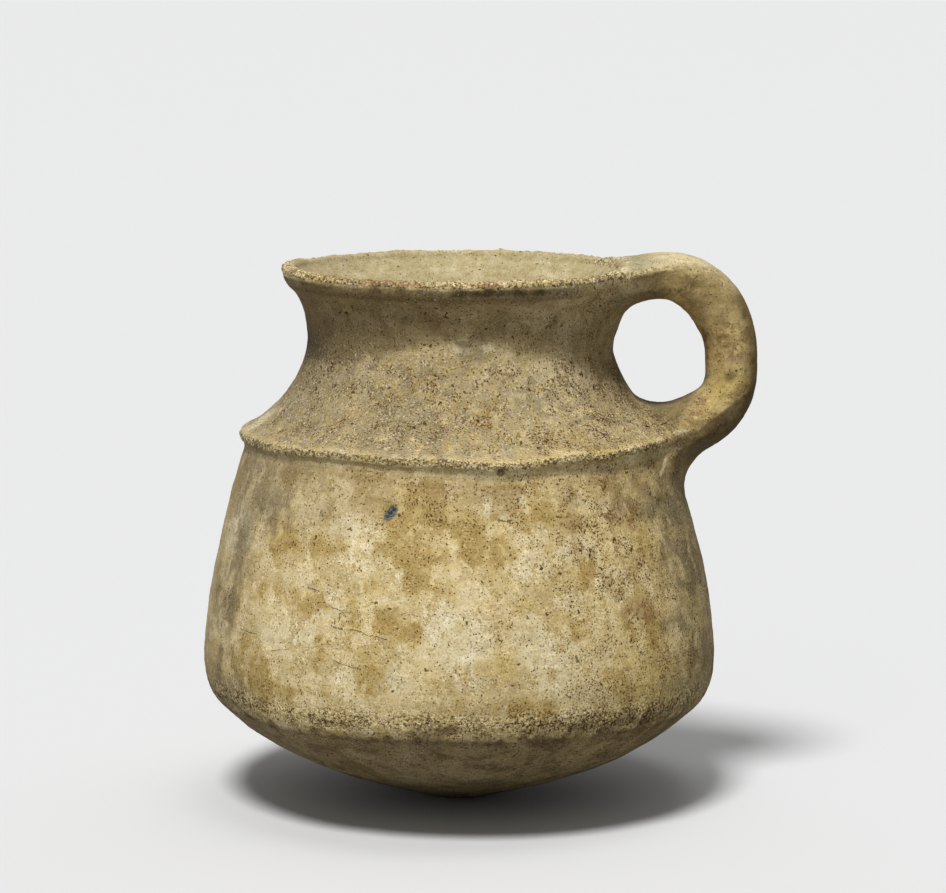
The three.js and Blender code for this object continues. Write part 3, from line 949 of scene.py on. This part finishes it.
for kind, many in (("ochre", 34), ("yellow", 12), ("smoke", 20), ("rust", 10), ("pale", 20)):
    for _ in range(many):
        stains[kind].append((chance.uniform(-5, 185), chance.uniform(12, 100),
                             chance.uniform(2, 7), chance.uniform(1.5, 4.5),
                             chance.uniform(0.45, 0.85)))
print("stains:", {kind: len(rows) for kind, rows in stains.items()})

for thing in pieces.values():
    mesh = thing.data
    at, level = points_of(mesh), stored(mesh, "level")
    open_side = 1 - stored(mesh, "inside")
    for kind, rows in stains.items():
        amount = np.zeros(len(at))
        for *spot, strength in rows:
            turn, height, wide, tall = spot
            soft = oval(at, level, turn, height, 1.2 * wide, 1.2 * tall, power=1.15)
            amount = amount + strength * soft * (1 - 0.5 * amount)
        if kind == "pale" and "handled" in mesh.attributes:
            # painted light: on the handle, faces that look up are made paler
            lit_top = eased(stored(mesh, "outward")[:, 2], 0.55, 0.9) * eased(level, 92, 101)
            amount = amount + 0.7 * lit_top
        store(mesh, kind, amount * open_side)
    store(mesh, "slate", oval(at, level, *CHIP) * open_side)
    # pepper: grains that fired dark, thickest on the handle's side and round the lower angle
    right = eased(at[:, 0], 2, 34)
    pepper = 0.25 + 0.5 * right + 0.7 * np.exp(-((level - 23.8) / 2.6) ** 2)
    pepper += 0.5 * oval(at, level, -92, 66, 24, 5) + 0.5 * oval(at, level, -55, 58, 12, 10)
    pepper += 0.6 * eased(level, 73, 77) * eased(level, 92, 88)
    store(mesh, "pepper", pepper * (0.1 + 0.9 * open_side))
    if "handled" not in mesh.attributes:
        store(mesh, "handled", np.zeros(len(at)))
        store(mesh, "proud", np.zeros(len(at)))
        store(mesh, "outer", np.zeros(len(at)))
    store(mesh, "facing", stored(mesh, "outward")[:, 2])

# %% [markdown]
# ## One normal where pieces touch
# The light would show every cut as a thin line if each piece worked out its own smooth normals at
# the edge. Here the normals of the visible skin are summed over all pieces, so that points which
# lie on each other share one.

# %% Shared normals
def skin_normals(mesh):
    """Normals summed at the points of a mesh from its visible faces."""
    sizes = np.zeros(len(mesh.polygons), int)
    mesh.polygons.foreach_get("loop_total", sizes)
    corners = np.zeros(len(mesh.loops), int)
    mesh.loops.foreach_get("vertex_index", corners)
    normals = np.zeros(len(sizes) * 3)
    mesh.polygons.foreach_get("normal", normals)
    areas = np.zeros(len(sizes))
    mesh.polygons.foreach_get("area", areas)
    first = np.r_[0, np.cumsum(sizes)[:-1]]
    shown = np.add.reduceat(stored(mesh, "skin")[corners], first) / sizes > 0.5
    shown &= np.add.reduceat(stored(mesh, "corner")[corners], first) / sizes < 0.9
    if "cap" in mesh.attributes:
        cap = np.zeros(len(sizes), int)
        mesh.attributes["cap"].data.foreach_get("value", cap)
        shown &= cap == 0
    weights = np.repeat(normals.reshape(-1, 3) * (areas * shown)[:, None], sizes, axis=0)
    return np.column_stack([
        np.bincount(corners, weights[:, k], len(mesh.vertices)) for k in range(3)])


places = np.vstack([points_of(thing.data) for thing in pieces.values()])
sums = np.vstack([skin_normals(thing.data) for thing in pieces.values()])
_, same = np.unique(np.round(places * 100).astype(np.int64), axis=0, return_inverse=True)
same = same.ravel()
shared = np.column_stack([np.bincount(same, sums[:, k]) for k in range(3)])[same]
length = np.linalg.norm(shared, axis=1)
shared[length > 0] /= length[length > 0, None]
reached = 0
for thing in pieces.values():
    mesh = thing.data
    mesh.polygons.foreach_set("use_smooth", np.ones(len(mesh.polygons), bool))
    rows = shared[reached:reached + len(mesh.vertices)]
    mesh.normals_split_custom_set_from_vertices(rows.tolist())
    reached += len(mesh.vertices)
    print(thing.name, "triangles:", sum(len(p.vertices) - 2 for p in mesh.polygons))

# %% [markdown]
# ## The finish
# All clay shares one recipe that reads the place in millimetres and the values stored above, so
# the colour runs across the joints as it does on a fired pot. It is built in layers, like the pot's
# own history: the clay and its clouds, the stains, the worn edges, the pits and the scratches. The
# same masks set the small relief, so a dark pit is also a hole.

# %% Tools for the finish
def tone(text):
    """A colour from its web notation, in linear light."""
    parts = [int(text[k:k + 2], 16) / 255 for k in (1, 3, 5)]
    return (*(c / 12.92 if c <= 0.04045 else ((c + 0.055) / 1.055) ** 2.4 for c in parts), 1.0)


def mixed(factor, first, second, blend="MIX"):
    """The first colour, with the second over it by a factor."""
    values = {0: factor, 6: first, 7: second}
    settings = {"data_type": "RGBA", "blend_type": blend, "clamp_factor": True}
    return put(tree, "ShaderNodeMix", values, settings, output=2)


def carried(name):
    """A value stored on the piece's points."""
    return put(tree, "ShaderNodeAttribute", settings={"attribute_name": name}, output=2)


def holes(place, cell, radius, share):
    """Round pits, at most one to a cell, in a share of the cells: 1 inside, 0 outside."""
    spots = put(tree, "ShaderNodeTexVoronoi", {"Vector": place, "Scale": 1 / cell})
    draw = parts_of(Wire(tree, spots.socket.node.outputs["Color"]))[0]
    size = (1 - draw / share).maths("MAXIMUM", 0.0001).maths("SQRT") * (radius / cell)
    return (spots / size).within(1.0, 0.55)


def scratch(flat, start, end, width):
    """1 on a line between two places of the unrolled skin."""
    reach = (end[0] - start[0], end[1] - start[1], 0.0)
    away = vectors("SUBTRACT", flat, (*start, 0.0))
    along_it = vectors("DOT_PRODUCT", away, reach, output=1)
    along_it = along_it.maths("DIVIDE", reach[0] ** 2 + reach[1] ** 2, clamp=True)
    foot = put(tree, "ShaderNodeVectorMath", {0: reach, "Scale": along_it}, {"operation": "SCALE"})
    gap = vectors("DISTANCE", away, foot, output=1)
    return gap.within(width, width * 0.4)


# %% [markdown]
# Clay varies at every scale, from clouds as wide as a thumb to single grains. So there are noises
# of many sizes. Some are warped by a slower one, which makes their blotches ragged, and one is
# combed out along the turning lines. The skin is also unrolled flat, for scratches.

# %% Places and noises of the finish
tree = fired_clay.node_tree
principled = tree.nodes["Principled BSDF"]
place = scaled(put(tree, "ShaderNodeTexCoord", output=3), 1 / MM)
x, y, _ = parts_of(place)
level, worn, inside = carried("level"), carried("worn"), carried("inside")
handled, pepper = carried("handled"), carried("pepper")
outside = 1 - inside

drift = vectors("SUBTRACT", noise(place, 5.5, 3.0, 0.6, shift=41, output=1), (0.5, 0.5, 0.5))
warped = vectors("ADD", place, scaled(drift, 7.0))
shake = vectors("SUBTRACT", noise(place, 0.6, 2.0, shift=5, output=1), (0.5, 0.5, 0.5))
ruffle = vectors("ADD", place, scaled(shake, 0.5))
# quilt makes the widest clouds, blotch ragged blotches, cluster the places where specks gather;
# streaks run up and down the pot, and combing runs round it
quilt = noise(warped, 9.0, 5.0, 0.62, shift=77)
blotch = noise(scaled(warped, 1.0, 1.0, 0.7), 5.5, 6.0, 0.66, shift=3)
cluster = noise(warped, 4.0, 4.0, 0.65, shift=83).within(0.42, 0.6)
streaks = noise(scaled(place, 1.0, 1.0, 0.13), 2.4, 3.0, 0.6, shift=9)
combing = noise(scaled(place, 0.07, 0.07, 1.0), 0.75, 3.0, 0.6, shift=15)
mottle = noise(place, 1.9, 4.0, 0.7, shift=23)
grit = noise(place, 0.42, 2.0, 0.7)
crumb = noise(place, 0.62, 2.0, 0.75, shift=31)

turn = y.maths("ARCTAN2", x)
ring = vectors("LENGTH", vector_of(tree, x, y, 0.0), (0, 0, 0), output=1)
# 1 at the left and right ends of the pot's width, 0 at its front and back
flanks = (x.maths("ABSOLUTE") / ring).within(0.7, 1.0)
unrolled = vector_of(tree, (turn + math.pi / 2) * ring, level, 0.0)
unrolled = vectors("ADD", unrolled, scaled(shake, 0.5, 0.5, 0.0))
unrolled = vectors("ADD", unrolled, scaled(drift, 1.4, 1.4, 0.0))
print("nodes for places and noises:", len(tree.nodes))

# %% [markdown]
# The body is one buff clay, but the kiln and a thick slip left it cream, sand, tan and yellow in
# clouds. Over them lie the stains, each with a wide faint wash and a smaller, darker heart.

# %% Clay, clouds and stains
CREAM, SAND, TAN = tone("#E3CF9F"), tone("#CFB986"), tone("#B69C6A")
YELLOW, OLIVE, OCHRE = tone("#D4BB78"), tone("#C6AB6B"), tone("#A4874C")
PALE, GREY, BROWN = tone("#EADCB6"), tone("#8C7E60"), tone("#7C6238")
RUST = tone("#84593A")
# fine noise that breaks up every mask's edge, alone and with the blotches
dither = (mottle - 0.5) * 1.8 + (grit - 0.5) * 1.4
swing = (blotch - 0.5) * 5.0 + dither


def stained(kind, low, high):
    """A stain with ragged, speckled edges, where its ovals are."""
    return (carried(kind) + swing).within(low, high) * carried(kind).within(0.03, 0.25)


colour = mixed((quilt + dither * 0.06).within(0.46, 0.54), SAND, CREAM)
colour = mixed(noise(warped, 10, 5.0, 0.65, shift=51).within(0.5, 0.64) * 0.4, colour, TAN)
colour = mixed(noise(place, 8, 3.0, 0.6, shift=71).within(0.52, 0.66) * 0.5, colour, YELLOW)
colour = mixed(stained("pale", 0.15, 0.5) * 0.85, colour, PALE)
colour = mixed(stained("yellow", 0.3, 0.7) * 0.75, colour, YELLOW)
wash = (swing + (combing - 0.5)).within(0.0, 0.3) * outside
colour = mixed(wash * 0.4, colour, OLIVE)
ochre = stained("ochre", 0.43, 0.55)
colour = mixed(ochre * 0.8, colour, OLIVE)
colour = mixed(stained("ochre", 0.65, 0.9) * 0.65, colour, OCHRE)
browned = pepper.within(0.3, 1.1) * cluster * (swing + 0.5).within(0.2, 0.7) * outside
colour = mixed(browned * 0.7, colour, tone("#A08350"))
colour = mixed(stained("smoke", 0.15, 0.8) * 0.6, colour, GREY)
colour = mixed(stained("smoke", 0.75, 1.3) * 0.5, colour, tone("#665A3E"))

# %% [markdown]
# ## Colour by zone
# Fire, soil and hands did not treat the pot alike all over. Its flanks are greyer and carry painted
# shade, the neck's sides and the neck below the lip carry painted shade, the wall under the ridge
# is browner, the shoulder is dusty with painted half-shade near the neck, and the underside is
# brown.
# Each zone is a mask made from the height, from x and from noise, with one tone laid over the clay
# through it. Heights and x are in millimetres.

# %% Flanks, upper wall and shoulder
wall = outside * (1 - handled)
# grey clay and painted shade on the pot's left and right flanks, stronger on the right
flank_grey_and_shade = flanks * level.within(77, 66) * wall * (0.4 + swing.within(-0.9, 0.5) * 0.6)
colour = mixed(flank_grey_and_shade * (0.45 + x.within(0, 20) * 0.4), colour, tone("#7D7053"))
# painted shade on the neck's left and right sides, stronger on the left
neck_side_shade = flanks * level.within(76, 86) * level.within(104, 101) * wall
colour = mixed(neck_side_shade * (0.55 - x.within(0, 20) * 0.38), colour, tone("#6A5F47"))
upper = level.within(60, 68) * level.within(72.5, 69.5) * wall
colour = mixed(upper * swing.within(-0.5, 0.4) * 0.75, colour, tone("#A58B5A"))
# dust on the shoulder; where its mask reaches up towards the neck it is also painted half-shade
# below the neck's painted shade
shoulder = level.within(73.9, 75.2) * level.within(95, 89) * wall
shoulder = shoulder * (1 - level.within(84, 90) * x.within(-4, 12) * 0.7)
colour = mixed(shoulder * dither.within(-0.5, 0.4), colour, tone("#8F8060"))
# pale slip that stayed in the corner over the ridge
kept_slip = carried("pale").within(0.5, 1.0) * level.within(74, 75) * level.within(80, 77)
colour = mixed(kept_slip * 0.6, colour, PALE)

# %% The neck's painted shade, and a greyer upper left
# how far the painted shade's lower edge hangs down, in mm: more, the further it is from the middle
sag = (x + 3) * 0.094
sag = (sag * sag).maths("MINIMUM", 10.0) + x.peak(-16, 6) * 1.2 - x.peak(3, 5) * 1.2
# painted shade: the lip's shadow laid on the neck, darker towards the left
neck_shade = (level + swing * 1.5 + sag).within(92.6, 95.4)
neck_shade = neck_shade * level.within(104.5, 103) * wall
shade_strength = 0.22 + x.within(-6, -20) * 0.43 + x.within(24, 30) * 0.08
colour = mixed(neck_shade * level.within(99, 95.5) * shade_strength, colour, tone("#5E513A"))
colour = mixed(neck_shade * level.within(97, 99) * x.peak(-9, 11) * 0.35, colour, tone("#66573C"))
colour = mixed(neck_shade * (0.5 + x.within(15, -12) * 0.2), colour, tone("#85734F"))
colour = mixed(neck_shade * swing.within(-0.4, 0.6) * 0.3, colour, tone("#6B5A3E"))
# the deepest painted shade lies in the bend at the neck's left
left_bend_shade = x.within(-24, -28) * level.within(88.4, 90.2) * level.within(96, 92) * wall
colour = mixed(left_bend_shade * 0.75, colour, tone("#4E452E"))
greyed = x.within(-10, -26) * level.within(56, 64) * level.within(94, 89) * wall
colour = mixed(greyed * 0.25, colour, tone("#7F745A"))

# %% The underside and the lower angle
base = level.within(21.9, 20.7) * outside
colour = mixed(base * 0.65, colour, tone("#7C6948"))
colour = mixed(base * swing.within(-0.2, 0.6) * 0.6, colour, tone("#5F4D32"))
# soil and painted shade along the lower angle
angle_soil_and_shade = level.peak(21.9, 1.0) * wall * swing.within(0.0, 0.35)
colour = mixed(angle_soil_and_shade * 0.75, colour, tone("#674F2C"))

# %% [markdown]
# ## The handle's own colours
# The handle is the part that hands touched. Its clay is yellower and streaked along the pull, and
# its crest over the lip is rubbed pale and grey. Painted light lies on its upward faces and its
# outer bend.
# Painted shade lies where its root meets the lip, on the roof of the loop, on the outer face, in
# the creases, where strap and neck part and under the lower arm, with a painted shadow on the wad
# below.

# %% Bare clay and the rubbed crest
pulled = noise(scaled(warped, 1.0, 0.6, 1.0), 3.6, 6.0, 0.72, shift=61) + dither * 0.1
facing, proud = carried("facing") + dither * 0.1, carried("proud")
bare = handled * (1 - carried("pale").within(0.2, 0.8) * 0.75)
bare = bare * (1 - carried("yellow").within(0.3, 1.0) * 0.6)
colour = mixed(bare * 0.6, colour, tone("#A88C50"))
colour = mixed(bare * pulled.within(0.44, 0.58) * 0.75, colour, tone("#7A6136"))
colour = mixed(handled * mottle.within(0.52, 0.64) * 0.5, colour, tone("#D6BE78"))
# rubbed wear and painted light: the handle's upward faces are lighter, more so above 78 mm
rub_and_top_light = handled * facing.within(-0.1, 0.6) * (0.12 + level.within(78, 92) * 0.23)
colour = mixed(rub_and_top_light, colour, tone("#BFB592"))
colour = mixed(proud * x.within(41, 33) * level.within(98, 101) * 0.6, colour, tone("#A29A78"))
# painted shade where the strap's root meets the lip
colour = mixed(proud * x.peak(35, 2.6) * level.within(103.5, 105) * 0.55, colour, tone("#8C8360"))

# %% Painted shade and light on the strap
# painted shade on the strap's lower faces near its root, the roof of the loop
loop_roof_shade = proud * facing.within(0.6, 0.3) * x.within(43, 38) * level.within(96, 99)
colour = mixed(loop_roof_shade * (0.36 + x.within(26, 38) * 0.42), colour, tone("#6A5835"))
# painted light on the strap's side at its outer bend
bend_light = handled * facing.within(0.6, 0.3) * x.within(43, 47) * level.within(94, 98)
colour = mixed(bend_light * 0.55, colour, tone("#C6AF78"))
# painted shade on the strap's outer face below the lip
outer_face_shade = handled * carried("outer").within(0.2, 0.9) * level.within(104, 100)
colour = mixed(outer_face_shade * 0.9, colour, tone("#68552B"))
# painted shadow: a thin dark line under the strap's edge where it stands off the wad
crease_shadow = proud * facing.peak(0.3, 0.14) * level.within(99, 101)
crease_shadow = crease_shadow * x.within(44, 40) * x.within(24, 28)
colour = mixed(crease_shadow * 0.6, colour, tone("#4A3C24"))
# painted shade where strap and neck part, above a slanting line
fork_shade = (level - x * 1.28 - 21.4 + dither * 0.3).within(-0.6, 1.2) * proud * level.within(87, 83)
colour = mixed(fork_shade * 0.68, colour, tone("#6C5F42"))

# %% Round the strap's lower end
# painted shade on the underside of the lower arm: below 75 mm near the pot, and below a rising line
# further out
low_arm_shade = (x - 47).maths("MAXIMUM", 0.0) * 0.7 - level + dither * 0.2
low_arm_shade = low_arm_shade.within(-75.6, -74.7) * x.within(40.5, 43) * level.within(90, 84)
low_arm_shade = low_arm_shade * (0.85 - carried("outer").within(0.2, 0.9) * 0.35) * level.within(68, 73)
colour = mixed(low_arm_shade * proud.within(-0.5, 0.6), colour, tone("#55472D"))
# the neck beside the loop is a little lighter, which takes back part of its painted shade
nook = x.within(13, 23) * level.within(87, 90) * level.within(103.8, 102.5)
colour = mixed(nook * (1 - proud * 0.5), colour, (1.2, 1.2, 1.26, 1.0), "MULTIPLY")
# a yellow drip on the grip, and a browner patch above it
drip = (level - (x - 51.6) * 0.5).peak(82.8, 2.2) * x.peak(51.8, 2.6) * proud
colour = mixed(drip * 0.5, colour, tone("#CFBC6A"))
brown_patch = handled * x.peak(51.8, 2.0) * level.within(90, 94) * level.within(102.5, 100)
colour = mixed(brown_patch * 0.3, colour, tone("#7E6B40"))
# the ridge's pale edge runs out over the wad
ridge_end = level.peak(75.0, 0.5) * x.within(38, 40.5) * x.within(46, 43.5) * proud
colour = mixed(ridge_end * 0.6, colour, tone("#DDD2A8"))
# painted shadow of the lower arm on the wad and wall under the ridge
under_wad_shadow = x.within(34, 43) * level.within(73.6, 72.4) * level.within(56, 70)
colour = mixed(under_wad_shadow * swing.within(-1.2, 0.6) * 0.42, colour, tone("#655B42"))

# %% The warmer right side, and the inside
YELLOWED = (1.0, 0.97, 0.82, 1.0)
warm_side = x.within(4, 32) * wall * level.within(78, 74)
colour = mixed(warm_side * 0.6, colour, YELLOWED, "MULTIPLY")
colour = mixed(inside * 0.7, colour, tone("#A99E7C"))
colour = mixed(inside * streaks.within(0.45, 0.6) * 0.3, colour, tone("#A3905F"))

# %% [markdown]
# ## Wear, soot and holes
# Lip, ridge and lower angle have lost their skin: the clay shows there as pale grains with dark
# gaps between them. Painted shade darkens the undercuts below lip and ridge and at the lower angle,
# and soot lies in some of them. Dark grains that fired to specks are far too many for single
# objects, so they are noises and cells, thicker where the pepper value says so.

# %% Worn edges, and painted shade in the undercuts
edge = worn.within(0.3, 0.7)
patchy = swing.within(-0.5, 0.4)
bead = mixed(crumb.within(0.4, 0.6), tone("#957E4E"), tone("#D6C494"))
colour = mixed(edge * (0.8 - 0.4 * patchy), colour, bead)
granular = level.peak(24.8, 2.2) * wall
colour = mixed(granular * crumb.within(0.45, 0.6) * 0.7, colour, tone("#DEC990"))
gaps = edge * (crumb - 0.04 * cluster).within(0.46, 0.39) * (0.3 + 0.7 * patchy)
gaps = gaps * (1 - proud * 0.6) + granular * (crumb - 0.03 * cluster).within(0.44, 0.37)
# painted shade in the undercuts below the ridge, below the lip where the handle's wad leaves it
# free, and at the angle
undercut_shade = level.peak(72.5, 0.25) * 0.35 + level.peak(104.5, 0.5) * x.within(27, 19)
undercut_shade = undercut_shade + level.peak(20.9, 0.7)
undercut_shade = undercut_shade * wall * swing.within(-0.9, 0.5)
# painted light: a pale band under the ridge that weakens its shadow on the wall
colour = mixed(level.peak(71.4, 0.9) * wall * 0.35, colour, tone("#E4D09C"))
# painted shade on the lip's underside, away from the handle
lip_shade = level.within(102.0, 103.2) * level.within(105.2, 104.7) * wall * x.within(27, 19)
colour = mixed(lip_shade * 0.55, colour, tone("#695636"))
colour = mixed(undercut_shade * 0.65, colour, tone("#5E4C30"))
colour = mixed(gaps * 0.8, colour, tone("#5A451E"))
colour = mixed(stained("rust", 0.35, 0.9) * 0.5, colour, RUST)
colour = mixed(stained("soot", 0.35, 1.1) * 0.75, colour, tone("#45402C"))

# %% Specks and pits
density = pepper * (0.1 + 0.9 * cluster) * (1 - handled * 0.7)
density = density + ochre * 0.15 + neck_shade * 0.2 + base * 0.3
flecks = (noise(place, 0.34, 1.0, 0.5, shift=91) + density * 0.11).within(0.66, 0.74)
dots = holes(vectors("ADD", place, scaled(shake, 0.3)), 0.52, 0.21, density * 1.1)
flecks = flecks.maths("MAXIMUM", dots)
spots = (noise(place, 1.0, 1.0, 0.5, shift=97) + density * 0.07).within(0.72, 0.77)
pores = holes(ruffle, 1.9, 0.26, 0.1 + pepper * 0.35)
sooty, umber = tone("#524014"), tone("#563810")
colour = mixed(grit.within(0.6, 0.72) * 0.4 * outside * (1 - proud * 0.8), colour, PALE)
colour = mixed(flecks * 0.95, colour, mixed(cluster, sooty, umber))
colour = mixed(spots * 0.9, colour, mixed(cluster, sooty, umber))
colour = mixed(pores * 0.75, colour, mixed(carried("rust").within(0.2, 0.5), umber, RUST))

# %% Scratches, the rub and the chip
# start and end on the unrolled skin (mm to the right of the front, height) and half width
lines = [
    ((-25.4, 42.6), (-22.9, 42.0), 0.17), ((-21.6, 42.2), (-19.0, 41.8), 0.15),
    ((-19.0, 41.8), (-13.9, 40.6), 0.1), ((-25.9, 46.0), (-23.2, 45.2), 0.09),
    ((-23.2, 45.2), (-23.8, 43.4), 0.09), ((-24.8, 36.2), (-19.9, 35.0), 0.09),
    ((-49.4, 38.4), (-44.5, 38.6), 0.1), ((-39.8, 36.2), (-35.1, 37.0), 0.09),
    ((23.8, 79.4), (27.7, 78.4), 0.12), ((26.2, 78.0), (32.0, 76.6), 0.12),
    ((7.1, 62.6), (9.6, 62.6), 0.2), ((-30.5, 48.8), (-28.2, 48.6), 0.24),
    ((20.7, 29.8), (21.6, 29.0), 0.24), ((22.7, 37.0), (23.0, 36.0), 0.3),
]
cut = scratch(unrolled, *lines[0])
for line in lines[1:]:
    cut = cut.maths("MAXIMUM", scratch(unrolled, *line))
cut = cut * outside * crumb.within(0.35, 0.5)
print("scratches:", len(lines))
rub = scratch(unrolled, (48.6, 67.6), (52.2, 70.2), 0.7) * outside
colour = mixed(rub * 0.6, colour, PALE)
colour = mixed(cut * 0.75, colour, tone("#5E4A30"))
chip = (carried("slate") + (crumb - 0.5) * 1.6).within(0.35, 0.6)
chip = chip * carried("slate").within(0.05, 0.3)
colour = mixed(chip, colour, mixed(crumb.within(0.42, 0.6), tone("#2F3A3C"), tone("#77776A")))
colour = mixed(carried("pressed").within(0.25, 0.8) * (1 - chip) * 0.5, colour, BROWN)

# %% Grain that tints everything
# how coarse the grain shows, and a tint that moves blue most, so that dark grains look warm
coarseness = 0.32 + wall * (0.3 * cluster + 0.6 * shoulder + x.within(10, 30) * 0.2)
coarseness = coarseness + granular * 0.7 + edge * 0.5 - 0.15 * neck_shade - 0.1 * base
shade = (grit - 0.5) * 2.6 * coarseness + (mottle - 0.5) * 0.8 + (combing - 0.5) * 0.3
grain_tint = vector_of(tree, shade + 1, shade * 1.15 + 1, shade * 1.7 + 1)
colour = mixed(1.0, colour, grain_tint, "MULTIPLY")

# %% [markdown]
# The masks that darken gaps, pits and scratches also sink them. Only this last, fine relief is a
# bump; everything from a crumb upwards is already in the mesh. Fired clay without a glaze is dull,
# so the roughness is high and the highlight weak.

# %% Small relief and gloss
height = (grit - 0.5) * (0.1 * coarseness + 0.14 * edge) + (crumb - 0.5) * (edge + granular) * 0.2
height = height + (combing - 0.5) * 0.05 * (1 - edge) + (mottle - 0.5) * 0.12
height = height - flecks * 0.02 - spots * 0.04 - pores * 0.1 - gaps * 0.14 - cut * 0.15
bump = put(tree, "ShaderNodeBump", {"Height": height, "Distance": MM, "Strength": 1.0})
rough = 0.82 + 0.12 * blotch
for name, wire in (("Base Color", colour), ("Roughness", rough), ("Normal", bump)):
    tree.links.new(wire.socket, principled.inputs[name])
principled.inputs["Specular IOR Level"].default_value = 0.25
print("nodes in the finish:", len(tree.nodes))

# %% [markdown]
# ## Camera, light and floor
# A long lens from a little above, as for a catalogue picture. Four soft suns stand in for the lamp
# over the front left, the ceiling, the room in front and the wall behind. The world and the floor
# look pale to the camera but send less light than they seem to, so the underside of the pot keeps
# its shade.

# %% Camera
scene = bpy.context.scene
lens = bpy.data.cameras.new("catalogue_camera")
FOCAL_LENGTH, SENSOR_WIDTH = 134.2, 36
PICTURE_WIDTH, SHIFT = 946, 13.5
DISTANCE, EYE_HEIGHT, LOOKING_DOWN = 0.697, 0.1696, 8.10
lens.lens = FOCAL_LENGTH
lens.sensor_width = SENSOR_WIDTH
lens.shift_x = SHIFT / PICTURE_WIDTH
lens.clip_start = 0.01
camera = bpy.data.objects.new("catalogue_camera", lens)
camera.location = (0, -DISTANCE, EYE_HEIGHT)
camera.rotation_euler = (math.radians(90 - LOOKING_DOWN), 0, 0)
scene.collection.objects.link(camera)
scene.camera = camera
print("camera in m:", tuple(round(v, 3) for v in camera.location))

# %% Light
def sun(name, toward, strength, width):
    """A soft sun that shines from a direction; width is its angle in degrees."""
    lamp = bpy.data.lights.new(name, "SUN")
    lamp.energy = strength
    lamp.angle = math.radians(width)
    thing = bpy.data.objects.new(name, lamp)
    thing.rotation_euler = Vector(toward).to_track_quat("Z", "Y").to_euler()
    scene.collection.objects.link(thing)


sun("key", (-0.17, -0.52, 1.0), 2.9, 15)
sun("ceiling", (0.1, 0.0, 1.0), 0.4, 24)
sun("front", (-0.3, -0.85, 0.5), 0.25, 50)
sun("back", (0.3, 0.9, 0.8), 0.6, 100)
air = bpy.data.worlds.new("pale_air")
air.use_nodes = True
air.node_tree.nodes["Background"].inputs["Color"].default_value = (0.93, 0.95, 1.0, 1.0)
# the world gives light of strength 0.14, and the camera sees it 0.7 brighter
seen = put(air.node_tree, "ShaderNodeLightPath")
glow = seen * 0.7 + 0.14
air.node_tree.links.new(glow.socket, air.node_tree.nodes["Background"].inputs["Strength"])
scene.world = air
scene.view_settings.view_transform = "Standard"

# %% Floor
HALF = 20.0
LIT, SHOWN = (0.3, 0.3, 0.3, 1.0), (0.68, 0.68, 0.68, 1.0)
corners = [(-HALF, -HALF, 0), (HALF, -HALF, 0), (HALF, HALF, 0), (-HALF, HALF, 0)]
ground = bpy.data.meshes.new("floor")
ground.from_pydata(corners, [], [(0, 1, 2, 3)])
paper = bpy.data.materials.new("pale_paper")
paper.use_nodes = True
surface = paper.node_tree.nodes["Principled BSDF"]
surface.inputs["Roughness"].default_value = 0.95
surface.inputs["Specular IOR Level"].default_value = 0.1
# mixed() places its nodes in the tree of this name
tree = paper.node_tree
seen = put(tree, "ShaderNodeLightPath")
shown = mixed(seen, LIT, SHOWN)
tree.links.new(shown.socket, surface.inputs["Base Color"])
ground.materials.append(paper)
floor = bpy.data.objects.new("floor", ground)
scene.collection.objects.link(floor)

# %% [markdown]
# ## Handing the pieces over
# Every visual piece replaces its own node of the imported model and rides on the one rigid body.

# %% Pieces
for name, thing in pieces.items():
    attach(thing, "root")
    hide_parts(name)
